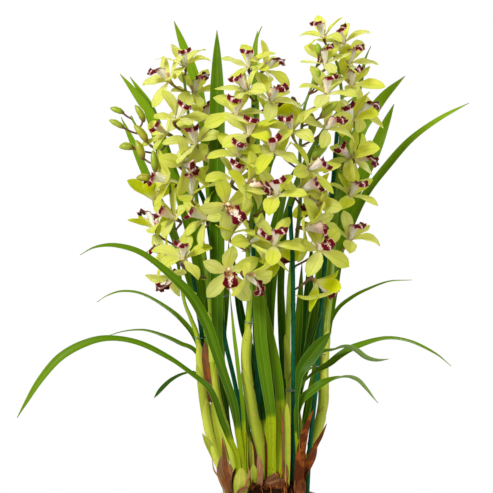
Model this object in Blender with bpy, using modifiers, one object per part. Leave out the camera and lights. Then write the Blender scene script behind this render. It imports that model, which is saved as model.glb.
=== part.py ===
# A cymbidium orchid with five flower spikes, growing in a plain round pot.
# Metres, +Z up, the viewer looks along +Y. The origin is the middle of the pot's foot.

import math

import bmesh
import bpy
import numpy as np
from mathutils import Vector

MM = 0.001

# Pot, in mm
POT_HEIGHT = 125.0
POT_RIM_RADIUS = 68.0
POT_FOOT_RADIUS = 49.0
POT_WALL = 4.5
POT_FLOOR = 6.0
POT_BAND_HEIGHT = 20.0
POT_BAND_TAPER = 1.5
POT_BAND_STEP = 2.0
POT_EDGE = 1.6
POT_SIDES = 24
POT_SHARP_ANGLE = 30.0

# Growing mix, in mm
MIX_EDGE_BELOW_RIM = 5.0
MIX_CROWN_ABOVE_RIM = 8.0
MIX_BARK_RELIEF = 2.2
MIX_MIDDLE_SHARE = 0.55
GAP = 0.4

# How the reference picture shows the plant: real mm for one step of its 493 px square,
# its middle, the height of its middle above the table, and how far off the eye is.
PICTURE_MM = 1.3
PICTURE_MIDDLE = 246.5
POT_AXIS_X = 268.5
EYE_HEIGHT = 452.0
EYE_DISTANCE = 1900.0

# Flower, in mm
SEPAL = (36.0, 16.0)
PETAL = (35.0, 14.5)
# the top sepal, the right petal, the lower right sepal, the lower left sepal, the left petal:
# angle round the face, lean from the flower's own axis, length and width
TEPAL_ANGLES = (0.0, 68.0, 138.0, 222.0, 292.0)
TEPAL_LEANS = (68.0, 77.0, 86.0, 86.0, 77.0)
TEPAL_SIZES = (SEPAL, PETAL, SEPAL, SEPAL, PETAL)
TEPAL_WIDEST = 0.55
TEPAL_TIP_SHARE = 0.48
TEPAL_KEEL = 1.5
TEPAL_CUP = 2.0
HUB_RADIUS = 3.4
COLUMN_LENGTH = 12.0
COLUMN_RISE = 5.0
OVARY_LENGTH = 6.0
CROWN_LIFT = 0.9
# forward of the hub, below its middle, half width, height of the side walls, turn of the sheet
LIP_STATIONS = ((5.0, 4.8, 5.0, 4.8, 0.0), (12.0, 5.0, 7.2, 6.0, 10.0), (17.0, 8.0, 7.2, 1.0, 60.0))
LIP_REACH = 17.5
LIP_DROP = 15.5
LIP_THICKNESS = 1.4
PEDICEL_RADII = (1.3, 1.4, 1.75)
PEDICEL_FALL = 7.0
PEDICEL_SAG = 2.0
BUD_STALK_RADII = (1.3, 1.5)
BUD_STALK_FALL = 8.0
BUD_STALK_INSIDE = 3.0
# along the bud from its foot, and the half width there as a share of the widest
BUD_RINGS = ((0.0, 0.30), (0.28, 0.92), (0.62, 0.94))
STEM_POINTS = 13

# Leaves, bulbs and supports, in mm
LEAF_THICKNESS = 1.3
LEAF_STEP = 58.0
LEAF_FEWEST = 5
LEAF_MOST = 8
LEAF_FOLD = 0.24
LEAF_FOOT_SHARE = 0.72
LEAF_TIP_POWER = 2.2
BULB_HEIGHT = 46.0
BULB_NARROWING = 0.22
STAKE_RADIUS = 2.6
STAKE_STEP = 70.0
TIE_WIRE_RADIUS = 0.7
TIE_SLACK = 1.4
TIE_TILT = 1.5
TIE_BEND = 60.0
# a round bar drawn with six sides is this much wider at its corners than across its flats
SIX_SIDES = 1 / math.cos(math.pi / 6)

# The five flower spikes. "stem" is its route from the foot up as (picture x, picture y, depth in mm
# away from the viewer), and "thick" its radii in mm along it. Each flower is a letter with
# (picture x, picture y, depth, facing (right, up, toward the viewer), its top sepal's direction, or
# None where it leans to the stem, size). Each bud is (its tip, its base, depth, picture width).
SPIKES = {
    "flower_spike_1": {
        "stem": [(229, 500, 6), (224, 475, 7), (212, 440, 12), (204, 400, 18), (199, 338, 28),
                 (190, 293, 36), (180, 262, 44), (174, 215, 46), (168, 178, 46), (158, 152, 45),
                 (147, 142, 44), (135, 124, 42), (131, 116, 42)],
        "thick": (6.2, 5.6, 3.2, 2.2, 1.4),
        "flowers": {
            "a": (168, 134, 40, (-13, 8, 6), None, 0.92),
            "b": (171, 181, 20, (-16, 4, 4), None, 1.0),
            "c": (155, 201, 52, (-1, 12, -8), None, 1.0),
            "d": (176, 219, 24, (-15, 9, 4), None, 1.0),
            "e": (156, 229, 62, (-5, 14, -4), None, 1.0),
            "f": (169, 256, 34, (-15, 9, 3), None, 1.0),
            "g": (173, 274, 38, (-5, -14, 5), None, 0.95),
        },
        "buds": [
            ((110, 108), (124, 113), 44, 7), ((109, 120), (124, 128), 38, 7),
            ((135, 105), (144, 122), 46, 8), ((134, 125), (147, 142), 30, 9),
            ((119, 147), (134, 148), 48, 9), ((136, 140), (143, 160), 32, 9),
            ((153, 150), (155, 172), 32, 9), ((136, 178), (152, 178), 52, 9),
        ],
    },
    "flower_spike_2": {
        "stem": [(242, 500, -8), (236, 465, -8), (226, 400, -4), (216, 345, 0), (210, 298, 4),
                 (204, 255, 8), (197, 205, 10), (195, 175, 10), (192, 145, 10), (189, 120, 8),
                 (186, 93, 6), (183, 74, 4)],
        "thick": (4.6, 4.2, 3.4, 2.6, 1.6),
        "flowers": {
            "a": (185, 67, 0, (-3, 15, 5), None, 0.85),
            "b": (170, 81, -8, (-10, 11, 5), None, 0.95),
            "c": (194, 93, 24, (1, 15, 5), None, 0.95),
            "d": (177, 119, -18, (8, 13, 4), None, 1.0),
            "e": (196, 144, -14, (-4, 17, 4), None, 1.0),
            "f": (183, 165, -22, (12, 0, 11), None, 1.0),
            "g": (192, 195, -4, (0, 17, -3), None, 1.0),
            "h": (206, 219, -7, (-16, 8, 4), None, 0.95),
            "i": (183, 260, -14, (2, 18, 3), None, 1.0),
            "j": (206, 123, 42, (-1, 18, 0), None, 0.95),
            "k": (209, 162, 42, (-1, 15, 0), None, 0.95),
        },
        "buds": [],
    },
    "flower_spike_3": {
        "stem": [(267, 500, -22), (264, 470, -22), (262, 450, -23), (254, 420, -25), (249, 390, -27),
                 (246, 360, -29), (248, 330, -31), (250, 290, -34), (248, 260, -35), (250, 230, -36),
                 (254, 200, -36), (256, 160, -36), (256, 130, -34), (256, 100, -30), (254, 80, -28),
                 (251, 70, -26)],
        "thick": (6.6, 6.2, 3.4, 2.6, 1.6),
        "flowers": {
            "a": (249, 67, -30, (0, 18, 3), None, 0.88),
            "b": (264, 70, -18, (11, 11, 4), None, 0.88),
            "c": (247, 91, -45, (-9, 15, 4), None, 0.95),
            "d": (271, 101, -35, (5, 14, 7), None, 1.0),
            "e": (236, 115, -46, (2, 14, 5), None, 1.0),
            "f": (249, 135, -58, (3, 15, 4), None, 1.0),
            "g": (270, 119, -8, (3, 14, -6), None, 0.95),
            "h": (239, 157, -52, (3, 13, 6), None, 1.0),
            "i": (272, 151, -56, (-1, 14, 8), None, 1.0),
            "j": (234, 180, -52, (5, 13, 3), None, 1.0),
            "k": (247, 185, -62, (14, 2, 9), (-3, 14, 0), 1.05),
            "l": (276, 196, -62, (-1, 16, 4), None, 1.0),
            "m": (250, 242, -50, (15, 11, 5), None, 1.0),
            "n": (274, 245, -52, (2, 17, 5), None, 1.0),
            "o": (246, 275, -64, (13, -7, 10), (6, 14, 0), 1.0),
            "p": (231, 234, -48, (3, 12, -3), None, 0.95),
            "q": (275, 250, -4, (5, -3, -14), None, 0.92),
            "r": (226, 205, -60, (7, -5, 14), (-13, 22, 0), 1.05),
            "s": (228, 272, -56, (2, -2, 17), (0, 20, 0), 1.0),
        },
        "buds": [],
    },
    "flower_spike_4": {
        "stem": [(285, 500, -6), (285, 465, -6), (289, 395, -6), (287, 340, -5), (288, 290, -4),
                 (292, 262, -3), (297, 235, -2), (300, 205, 0), (300, 172, 0), (300, 150, 0),
                 (302, 125, 0), (305, 105, 0), (311, 88, 0), (315, 72, 0), (318, 62, 0)],
        "thick": (4.4, 3.8, 3.0, 2.4, 1.4),
        "flowers": {
            "a": (325, 64, 4, (-2, 17, 2), None, 0.85),
            "b": (327, 94, -16, (0, 18, 3), None, 0.95),
            "c": (292, 102, 30, (-3, -10, -10), None, 0.9),
            "d": (292, 132, -26, (-4, 14, 5), None, 1.0),
            "e": (283, 155, 26, (-6, 10, -8), None, 0.95),
            "f": (326, 129, -18, (8, 10, 6), None, 1.0),
            "g": (309, 170, -30, (13, 8, 5), None, 1.0),
            "h": (299, 191, -24, (18, 9, 4), None, 1.05),
            "i": (320, 204, 6, (-12, 3, 8), None, 1.0),
            "j": (304, 228, -28, (21, 0, 5), None, 1.05),
            "k": (319, 250, -28, (3, 8, 14), (-6, 14, 0), 1.0),
            "l": (315, 281, -8, (12, -6, -10), None, 1.0),
        },
        "buds": [
            ((317, 43), (319, 56), -6, 7), ((327, 45), (322, 60), 4, 8),
            ((319, 70), (316, 86), -10, 8), ((337, 72), (321, 87), -12, 9),
            ((338, 102), (320, 118), -30, 9), ((312, 137), (311, 113), -10, 9),
            ((329, 140), (312, 160), -24, 10), ((327, 190), (321, 204), -24, 8),
        ],
    },
    "flower_spike_5": {
        "stem": [(311, 500, 8), (313, 455, 8), (319, 430, 10), (324, 400, 14), (326, 365, 20),
                 (328, 330, 27), (330, 300, 34), (333, 250, 42), (336, 215, 44), (339, 185, 45),
                 (340, 160, 45), (341, 130, 44), (342, 100, 42), (340, 80, 38), (337, 64, 34),
                 (331, 50, 30), (328, 44, 28)],
        "thick": (5.6, 5.4, 3.6, 2.6, 1.6),
        "flowers": {
            "a": (324, 38, 22, (-7, 12, 8), (0, 12, 0), 0.88),
            "b": (344, 43, 40, (-8, 14, 5), None, 0.88),
            "c": (349, 63, 36, (3, 15, 4), None, 0.95),
            "d": (351, 86, 34, (0, 16, 4), None, 1.0),
            "e": (357, 115, 52, (13, 14, 4), None, 1.0),
            "f": (352, 120, 26, (-7, 15, 6), None, 1.0),
            "g": (350, 158, 28, (-12, 12, 6), None, 1.0),
            "h": (354, 160, 50, (13, 3, 8), None, 1.0),
            "i": (350, 196, 34, (6, 14, 4), None, 1.0),
            "j": (350, 240, 28, (5, 22, 4), None, 1.0),
        },
        "buds": [],
    },
}

# The six leafy shoots. "bulb" is (picture x, picture y, depth, radius in mm). Each leaf is (its route
# from the base up, width in mm, turn toward the viewer in degrees at the base and at the tip).
SHOOTS = {
    "leafy_shoot_1": {
        "bulb": (241, 486, -36, 12.0),
        "leaves": [
            ([(241, 480, -36), (241, 450, -40), (232, 400, -46), (213, 330, -54), (190, 293, -60),
              (165, 270, -62), (140, 252, -62), (115, 245, -60), (95, 247, -58),
              (80, 255, -56)], 15, 60, 45),
            ([(239, 480, -38), (232, 460, -42), (220, 425, -50), (205, 392, -56), (190, 372, -60),
              (170, 357, -64), (140, 343, -68), (110, 338, -72), (85, 343, -74), (60, 357, -76),
              (40, 380, -76), (25, 404, -76), (17, 418, -76)], 15, 60, 50),
            ([(243, 480, -32), (241, 450, -26), (236, 400, -20), (230, 330, -16), (225, 250, -14),
              (220, 170, -14), (218, 100, -14), (217, 60, -14), (217, 30, -14)], 20, 80, 85),
            ([(243, 480, -38), (243, 450, -40), (241, 400, -40), (236, 340, -38),
              (231, 290, -32)], 8, 40, 60),
        ],
    },
    "leafy_shoot_2": {
        "bulb": (243, 486, 36, 12.5),
        "leaves": [
            ([(241, 480, 36), (228, 450, 46), (210, 390, 56), (195, 335, 62), (180, 320, 66),
              (160, 303, 70), (140, 292, 72), (122, 290, 72), (98, 299, 72)], 13, 30, 25),
            ([(239, 480, 36), (226, 450, 42), (210, 390, 48), (197, 353, 52), (165, 336, 58),
              (145, 330, 60), (125, 331, 60), (109, 336, 60)], 11, 25, 25),
            ([(239, 480, 34), (226, 450, 40), (208, 400, 46), (195, 373, 48), (180, 374, 50),
              (165, 385, 52), (155, 398, 52)], 10, 25, 35),
            ([(243, 480, 38), (230, 420, 60), (215, 330, 84), (200, 260, 100), (185, 200, 106),
              (167, 170, 108), (160, 145, 108), (150, 115, 108), (133, 90, 108),
              (120, 74, 108)], 15, 60, 60),
            ([(243, 480, 40), (228, 400, 70), (212, 330, 94), (196, 255, 112), (182, 200, 120),
              (168, 160, 122), (152, 112, 122), (139, 90, 122), (130, 77, 122)], 14, 60, 60),
            ([(241, 480, 38), (222, 400, 66), (196, 300, 92), (172, 230, 96), (153, 190, 96),
              (140, 160, 96), (133, 143, 96), (121, 117, 96)], 12, 50, 50),
            ([(245, 480, 36), (240, 450, 38), (236, 400, 46), (228, 300, 70), (214, 220, 86),
              (207, 150, 88), (199, 95, 86), (192, 70, 84), (183, 45, 82), (174, 21, 80)], 15, 50, 50),
            ([(243, 480, 34), (226, 440, 30), (219, 400, 28), (217, 340, 30),
              (216, 290, 34)], 11, 50, 60),
        ],
    },
    "leafy_shoot_3": {
        "bulb": (271, 488, -44, 12.0),
        "leaves": [
            ([(271, 480, -44), (272, 455, -46), (270, 417, -48), (266, 380, -46), (261, 340, -42),
              (259, 290, -34)], 17, 75, 80),
            ([(273, 480, -44), (281, 450, -42), (278, 400, -38), (273, 360, -34),
              (265, 290, -24)], 12, 50, 60),
        ],
    },
    "leafy_shoot_4": {
        "bulb": (276, 486, 40, 12.5),
        "leaves": [
            ([(275, 480, 40), (272, 400, 46), (262, 300, 50), (257, 200, 48), (255, 100, 46),
              (256, 45, 44), (262, 26, 44)], 14, 60, 60),
            ([(275, 480, 40), (276, 400, 44), (270, 300, 58), (272, 260, 64), (275, 230, 66),
              (285, 190, 68), (297, 165, 68)], 15, 70, 70),
            ([(276, 480, 42), (272, 400, 56), (262, 300, 74), (260, 230, 80), (266, 175, 82),
              (275, 150, 82), (293, 118, 82), (306, 100, 82)], 13, 60, 60),
            ([(278, 480, 38), (292, 440, 32), (298, 360, 28), (303, 300, 28),
              (303, 262, 28)], 12, 60, 60),
            ([(278, 480, 42), (280, 400, 60), (279, 300, 78), (283, 235, 86), (290, 205, 88),
              (302, 172, 90), (318, 140, 92), (338, 112, 92), (360, 92, 92)], 11, 45, 40),
        ],
    },
    "leafy_shoot_5": {
        "bulb": (299, 487, -34, 11.0),
        "leaves": [
            ([(299, 480, -34), (300, 440, -34), (310, 400, -28), (328, 372, -26), (340, 355, -28),
              (360, 343, -30), (385, 338, -32), (410, 342, -32), (435, 353, -32),
              (451, 366, -32)], 12, 40, 25),
            ([(299, 480, -36), (298, 440, -38), (304, 390, -38), (322, 358, -38), (340, 346, -40),
              (355, 346, -42), (368, 352, -42), (378, 359, -42), (389, 359, -42)], 9, 40, 50),
            ([(299, 480, -38), (294, 440, -44), (300, 403, -46), (328, 382, -50), (345, 376, -54),
              (358, 380, -56), (370, 390, -56), (378, 403, -56)], 11, 45, 45),
            ([(298, 480, -38), (292, 430, -48), (300, 378, -52), (315, 355, -54),
              (332, 332, -54)], 12, 60, 60),
        ],
    },
    "leafy_shoot_6": {
        "bulb": (298, 485, 34, 12.5),
        "leaves": [
            ([(299, 480, 34), (306, 440, 44), (318, 350, 66), (330, 280, 80), (340, 250, 86),
              (350, 225, 92), (365, 195, 96), (385, 168, 98), (410, 140, 98), (440, 118, 98),
              (469, 103, 98)], 14, 40, 35),
            ([(299, 480, 36), (308, 400, 70), (322, 300, 104), (334, 220, 116), (345, 170, 118),
              (360, 130, 118), (370, 115, 118), (385, 95, 118), (405, 76, 118)], 17, 70, 70),
            ([(299, 480, 38), (310, 400, 76), (326, 300, 118), (340, 230, 132), (350, 200, 134),
              (365, 170, 134), (375, 150, 134), (385, 125, 134), (394, 104, 134)], 17, 70, 70),
            ([(301, 480, 33), (318, 400, 42), (333, 315, 54), (350, 305, 58), (370, 292, 60),
              (390, 282, 60), (412, 280, 60)], 9, 30, 25),
            ([(297, 480, 36), (304, 400, 62), (316, 300, 88), (332, 200, 102), (350, 120, 102),
              (360, 85, 100), (365, 60, 98), (371, 46, 98)], 12, 60, 60),
            ([(297, 480, 32), (304, 440, 30), (310, 360, 34), (314, 320, 38),
              (319, 285, 42)], 12, 60, 60),
        ],
    },
}

# Each support cane's route, from its foot up
STAKES = {
    "support_cane_1": [(234, 505, 22), (226, 470, 22), (207, 400, 29), (202, 338, 40), (193, 275, 54)],
    "support_cane_2": [(248, 505, 12), (245, 470, 12), (238, 400, 12), (225, 340, 14), (220, 305, 14),
                       (212, 250, 20), (205, 205, 28), (197, 185, 33), (187, 150, 32), (184, 128, 32)],
    "support_cane_3": [(264, 505, 6), (261, 450, 0), (259, 395, -8), (256, 355, -14), (254, 300, -18),
                       (253, 230, -16), (252, 160, -14), (254, 105, -12)],
    "support_cane_4": [(290, 505, -22), (290, 487, -22), (293, 450, -20), (293, 280, -17),
                       (291, 230, -18), (290, 206, -18)],
    "support_cane_5": [(302, 505, -14), (304, 487, -12), (311, 440, -4), (315, 410, 2), (319, 370, 8),
                       (322, 300, 30), (326, 250, 48), (331, 210, 57), (334, 170, 58), (337, 132, 58)],
}

# Each wire tie: (spike, cane, picture y of the loop)
TIES = {
    "wire_tie_1": ("flower_spike_1", "support_cane_1", 339),
    "wire_tie_2": ("flower_spike_2", "support_cane_2", 298),
    "wire_tie_3": ("flower_spike_3", "support_cane_3", 321),
    "wire_tie_4": ("flower_spike_4", "support_cane_4", 389),
    "wire_tie_5": ("flower_spike_5", "support_cane_5", 356),
    "wire_tie_6": ("flower_spike_5", "support_cane_5", 367),
}

# heights of the foot of the pot's band and of the mix's edge, in mm
BAND_FOOT = POT_HEIGHT - POT_BAND_HEIGHT - POT_BAND_STEP
MIX_EDGE = POT_HEIGHT - MIX_EDGE_BELOW_RIM

PARTS = "potted_orchid"
CUTTERS = "cutters"


def clear_scene():
    for obj in list(bpy.data.objects):
        bpy.data.objects.remove(obj, do_unlink=True)


def make_collection(name):
    group = bpy.data.collections.new(name)
    bpy.context.scene.collection.children.link(group)
    return group


def make_material(name, colour, roughness):
    mat = bpy.data.materials.new(name)
    mat.use_nodes = True
    shader = mat.node_tree.nodes["Principled BSDF"]
    shader.inputs["Base Color"].default_value = (*colour, 1.0)
    shader.inputs["Roughness"].default_value = roughness
    shader.inputs["Metallic"].default_value = 0.0
    mat.diffuse_color = (*colour, 1.0)
    return mat


def seen(x, y, depth):
    """The place in mm, at this depth, that the picture shows at x, y."""
    reach = 1.0 + depth / EYE_DISTANCE
    across = (PICTURE_MIDDLE - POT_AXIS_X) * PICTURE_MM + PICTURE_MM * (x - PICTURE_MIDDLE) * reach
    height = EYE_HEIGHT + PICTURE_MM * (PICTURE_MIDDLE - y) * reach
    return np.array([across, depth, height])


def route_of(points):
    return np.array([seen(*point) for point in points])


def smooth(points, count):
    """count places spread evenly along one smooth curve through the points."""
    points = np.asarray(points, float)
    ends = np.vstack([2 * points[0] - points[1], points, 2 * points[-1] - points[-2]])
    pieces = []
    for before, start, end, after in zip(ends, ends[1:], ends[2:], ends[3:]):
        t = np.linspace(0, 1, 24, endpoint=False)[:, None]
        pieces.append(
            0.5 * (2 * start + (end - before) * t + (2 * before - 5 * start + 4 * end - after) * t**2
                   + (3 * start - before - 3 * end + after) * t**3)
        )
    fine = np.vstack([*pieces, points[-1:]])
    run = np.concatenate([[0], np.cumsum(np.linalg.norm(np.diff(fine, axis=0), axis=1))])
    wanted = np.linspace(0, run[-1], count)
    return np.column_stack([np.interp(wanted, run, fine[:, axis]) for axis in range(3)])


def unit(vector):
    return vector / np.linalg.norm(vector)


def across_of(vector, axis):
    """The unit part of vector that is square to axis."""
    return unit(vector - axis * np.dot(vector, axis))


def mesh_object(name, points, faces, group):
    mesh = bpy.data.meshes.new(name)
    mesh.from_pydata([Vector(point) * MM for point in points], [], faces)
    mesh.update()
    obj = bpy.data.objects.new(name, mesh)
    group.objects.link(obj)
    return obj


def strip(first, second):
    """Triangles between two rings of four corners, edge, face, edge, back, split alike on both faces."""
    faces = []
    for side in range(4):
        a, b = first[side], first[(side + 1) % 4]
        c, d = second[(side + 1) % 4], second[side]
        if c == d:
            faces.append((a, b, c))
        elif side % 2 == 0:
            faces += [(a, b, c), (a, c, d)]
        else:
            faces += [(a, b, d), (b, c, d)]
    return faces


def blade_rings(places, across, facing, widths, folds, thickness):
    """Rings of four corners round a strip: both edges, and the middle of its face and back."""
    rings = []
    for place, side, out, width, fold in zip(places, across, facing, widths, folds):
        middle = place - out * fold
        rings.append([
            place - side * width / 2,
            middle + out * thickness / 2,
            place + side * width / 2,
            middle - out * thickness / 2,
        ])
    return rings


def blade_mesh(name, rings, tip, group):
    """A closed blade through the rings, ending in one point."""
    points = [corner for ring in rings for corner in ring] + [tip]
    index = [list(range(4 * i, 4 * i + 4)) for i in range(len(rings))]
    faces = [(0, 3, 2), (0, 2, 1)]
    for first, second in zip(index, index[1:]):
        faces += strip(first, second)
    faces += strip(index[-1], [len(points) - 1] * 4)
    return mesh_object(name, points, faces, group)


def tube_mesh(name, points, radii, sides_step, group):
    """A solid tube along the points, as a curve with a bevel, turned into a mesh."""
    curve = bpy.data.curves.new(name, "CURVE")
    curve.dimensions = "3D"
    curve.bevel_depth = 1.0 * MM
    curve.bevel_resolution = sides_step
    curve.use_fill_caps = True
    spline = curve.splines.new("POLY")
    spline.points.add(len(points) - 1)
    for corner, place, radius in zip(spline.points, points, radii):
        corner.co = (*(place * MM), 1.0)
        corner.radius = radius
    return made_mesh(name, curve, group)


def made_mesh(name, curve, group):
    """The curve's own surface as a welded mesh object, with the curve removed."""
    holder = bpy.data.objects.new(name + "_curve", curve)
    group.objects.link(holder)
    bpy.context.view_layer.update()
    graph = bpy.context.evaluated_depsgraph_get()
    mesh = bpy.data.meshes.new_from_object(holder.evaluated_get(graph))
    bpy.data.objects.remove(holder)
    bpy.data.curves.remove(curve)
    shape = bmesh.new()
    shape.from_mesh(mesh)
    bmesh.ops.remove_doubles(shape, verts=shape.verts, dist=0.01 * MM)
    bmesh.ops.recalc_face_normals(shape, faces=shape.faces)
    shape.to_mesh(mesh)
    shape.free()
    mesh.name = name
    obj = bpy.data.objects.new(name, mesh)
    group.objects.link(obj)
    return obj


def applied(obj):
    """The object with its modifiers made part of its mesh."""
    bpy.context.view_layer.update()
    graph = bpy.context.evaluated_depsgraph_get()
    mesh = bpy.data.meshes.new_from_object(obj.evaluated_get(graph))
    obj.modifiers.clear()
    old = obj.data
    obj.data = mesh
    mesh.name = obj.name
    bpy.data.meshes.remove(old)
    return obj


def boolean(obj, others, operation):
    """Joins the collection's objects to obj, or cuts them from it, and removes them."""
    step = obj.modifiers.new(operation.lower(), "BOOLEAN")
    step.operation = operation
    step.operand_type = "COLLECTION"
    step.collection = others
    step.solver = "MANIFOLD"
    applied(obj)
    for other in list(others.objects):
        bpy.data.objects.remove(other, do_unlink=True)
    bpy.data.collections.remove(others)
    return obj


def flower_mesh(name, centre, facing, crown, size, group):
    """Three sepals, two petals and the lip, drawn out of one hub between the column and the ovary."""
    side = np.cross(crown, facing)
    hub = HUB_RADIUS * size
    angles = [math.radians(angle) for angle in (*TEPAL_ANGLES[:3], 180.0, *TEPAL_ANGLES[3:])]
    between = [(a + b) / 2 for a, b in zip([angles[-1] - 2 * math.pi, *angles], angles)]

    def place(right, up, forward):
        return centre + (side * right + crown * up + facing * forward) * size

    def spoke(angle):
        return crown * math.cos(angle) + side * math.sin(angle)

    points = [centre + spoke(angle) * hub for angle in between]
    points += [centre + spoke(angle) * hub - facing * TEPAL_KEEL * size for angle in angles]
    column_tip, ovary_tip = len(points), len(points) + 1
    points += [place(0, COLUMN_RISE, COLUMN_LENGTH), place(0, 0, -OVARY_LENGTH)]
    faces = []
    tepals = iter(zip(TEPAL_ANGLES, TEPAL_LEANS, TEPAL_SIZES))
    for number, angle in enumerate(angles):
        left, right, back = number, (number + 1) % 6, 6 + number
        faces += [(left, back, ovary_tip), (back, right, ovary_tip)]
        if angle == math.pi:
            faces += lip_faces(points, place, left, right, back, column_tip)
            continue
        faces.append((left, column_tip, right))
        _, lean, (length, width) = next(tepals)
        tilt = math.radians(lean)
        along = spoke(angle) * math.sin(tilt) + facing * math.cos(tilt)
        face = facing * math.sin(tilt) - spoke(angle) * math.cos(tilt)
        wide = np.cross(spoke(angle), facing) * width / 2 * size
        middle = centre + (along * length * TEPAL_WIDEST + face * TEPAL_CUP) * size
        end = centre + (along * length - face * TEPAL_CUP * 0.5) * size
        first = len(points)
        points += [middle - wide, middle + wide, middle - face * TEPAL_KEEL * size]
        points += [end - wide * TEPAL_TIP_SHARE, end + wide * TEPAL_TIP_SHARE]
        near, far, keel, near_tip, far_tip = range(first, first + 5)
        faces += [
            (left, right, far), (left, far, near), (right, back, keel), (right, keel, far),
            (back, left, near), (back, near, keel), (near, far, far_tip), (near, far_tip, near_tip),
            (far, keel, far_tip), (keel, near, near_tip), (keel, near_tip, far_tip),
        ]
    return mesh_object(name, points, faces, group)


def lip_faces(points, place, left, right, back, column_tip):
    """The lip, a trough that rises round the column, then a broad front lobe that turns down."""
    inner = len(points)
    points.append(place(0, -HUB_RADIUS, 0.5))
    faces = [(left, column_tip, inner), (inner, column_tip, right)]
    ring = [left, inner, right, back]
    for forward, down, half_width, wall, turn in LIP_STATIONS:
        thick_up = LIP_THICKNESS / 2 * math.cos(math.radians(turn))
        thick_forward = LIP_THICKNESS / 2 * math.sin(math.radians(turn))
        first = len(points)
        points += [
            place(half_width, wall - down, forward),
            place(0, thick_up - down, forward + thick_forward),
            place(-half_width, wall - down, forward),
            place(0, -thick_up - down, forward - thick_forward),
        ]
        after = list(range(first, first + 4))
        faces += strip(ring, after)
        ring = after
    points.append(place(0, -LIP_DROP, LIP_REACH))
    return faces + strip(ring, [len(points) - 1] * 4)


def pedicel_mesh(name, stem, centre, facing, size, group):
    """The flower's stalk: out of the stem a little lower down and up into the back of the flower."""
    behind = centre - facing * OVARY_LENGTH * size * 1.4
    root = stem_at(stem, min(behind[2], centre[2]) - PEDICEL_FALL)
    middle = (root + behind) / 2 - facing * PEDICEL_SAG
    middle[2] -= PEDICEL_SAG
    end = centre - facing * TEPAL_KEEL
    return tube_mesh(name, [root, middle, end], PEDICEL_RADII, 0, group)


def stem_at(stem, height):
    """The middle of the stem at this height."""
    height = np.clip(height, stem[0][2], stem[-1][2])
    return np.array([np.interp(height, stem[:, 2], stem[:, axis]) for axis in range(3)])


def radii_along(thick, count):
    """count radii, spread evenly between the few that are given."""
    return np.interp(np.linspace(0, 1, count), np.linspace(0, 1, len(thick)), thick)


def bud_mesh(name, base, tip, width, group):
    """A closed bud: four-sided, widest below its middle, pointed."""
    along = unit(tip - base)
    side = across_of(np.array([0.0, 1.0, 0.0]), along)
    out = np.cross(side, along)
    length = np.linalg.norm(tip - base)
    rings = []
    for share, swell in BUD_RINGS:
        place = base + along * length * share
        beside, before = side * width / 2 * swell, out * width / 2 * swell
        rings.append([place - beside, place + before, place + beside, place - before])
    return blade_mesh(name, rings, tip, group)


def spike_object(name, spec, group, mat):
    """One flower spike: the stem with its flowers and buds, joined into one body."""
    stem = smooth(route_of(spec["stem"]), STEM_POINTS)
    obj = tube_mesh(name, stem, radii_along(spec["thick"], len(stem)), 1, group)
    pieces = make_collection(name + "_pieces")
    for letter, (x, y, depth, faces_to, crown_to, size) in spec["flowers"].items():
        centre = seen(x, y, depth)
        right, up, toward = faces_to
        facing = unit(np.array([right, -toward, up], float))
        if crown_to is None:
            to_stem = stem_at(stem, centre[2]) - centre
            crown = across_of(unit(to_stem) + np.array([0, 0, CROWN_LIFT]), facing)
        else:
            crown = across_of(np.array([crown_to[0], -crown_to[2], crown_to[1]], float), facing)
        label = name + "_" + letter
        flower_mesh(label, centre, facing, crown, size, pieces)
        pedicel_mesh(label + "_stalk", stem, centre, facing, size, pieces)
    for number, (tip, base, depth, width) in enumerate(spec["buds"]):
        label = f"{name}_bud_{number}"
        foot, point = seen(*base, depth), seen(*tip, depth)
        bud_mesh(label, foot, point, width * PICTURE_MM, pieces)
        root = stem_at(stem, foot[2] - BUD_STALK_FALL)
        inside = foot + unit(point - foot) * BUD_STALK_INSIDE
        tube_mesh(label + "_stalk", [root, inside], BUD_STALK_RADII, 0, pieces)
    boolean(obj, pieces, "UNION")
    obj.data.materials.clear()
    obj.data.materials.append(mat)
    return obj


def leaf_mesh(name, route, width, turn_base, turn_tip, group):
    """A strap leaf folded along its midrib, pointed at the tip."""
    path = route_of(route)
    length = np.linalg.norm(np.diff(path, axis=0), axis=1).sum()
    count = int(np.clip(round(length / LEAF_STEP), LEAF_FEWEST, LEAF_MOST))
    places = smooth(path, count + 1)
    along = np.gradient(places, axis=0)
    share = np.linspace(0, 1, count + 1)
    turns = np.radians(turn_base + (turn_tip - turn_base) * share)
    across, facing = [], []
    for direction, turn in zip(along, turns):
        direction = unit(direction)
        away = across_of(np.array([0.0, 1.0, 0.0]), direction)
        sideways = np.cross(direction, away)
        side = away * math.cos(turn) + sideways * math.sin(turn)
        across.append(side)
        facing.append(np.cross(side, direction))
    late = np.clip(2 * share - 1, 0, 1)
    swelling = LEAF_FOOT_SHARE + (1 - LEAF_FOOT_SHARE) * np.sin(share * math.pi)
    widths = width * np.where(share < 0.5, swelling, 1 - late**LEAF_TIP_POWER)
    folds = -LEAF_FOLD * widths * (1.35 - share)
    rings = blade_rings(places[:-1], across, facing, widths[:-1], folds[:-1], LEAF_THICKNESS)
    return blade_mesh(name, rings, places[-1], group)


def bulb_mesh(name, centre, radius, group, swell=0.0):
    """A pseudobulb: an egg standing on end, drawn in toward its top."""
    shape = bmesh.new()
    bmesh.ops.create_uvsphere(shape, u_segments=8, v_segments=6, radius=1.0)
    for vert in shape.verts:
        narrow = 1.0 - BULB_NARROWING * max(vert.co.z, 0.0)
        vert.co.x *= (radius + swell) * narrow
        vert.co.y *= (radius + swell) * narrow
        vert.co.z *= BULB_HEIGHT / 2 + swell
        vert.co = (vert.co + Vector(centre)) * MM
    mesh = bpy.data.meshes.new(name)
    shape.to_mesh(mesh)
    shape.free()
    obj = bpy.data.objects.new(name, mesh)
    group.objects.link(obj)
    return obj


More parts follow.
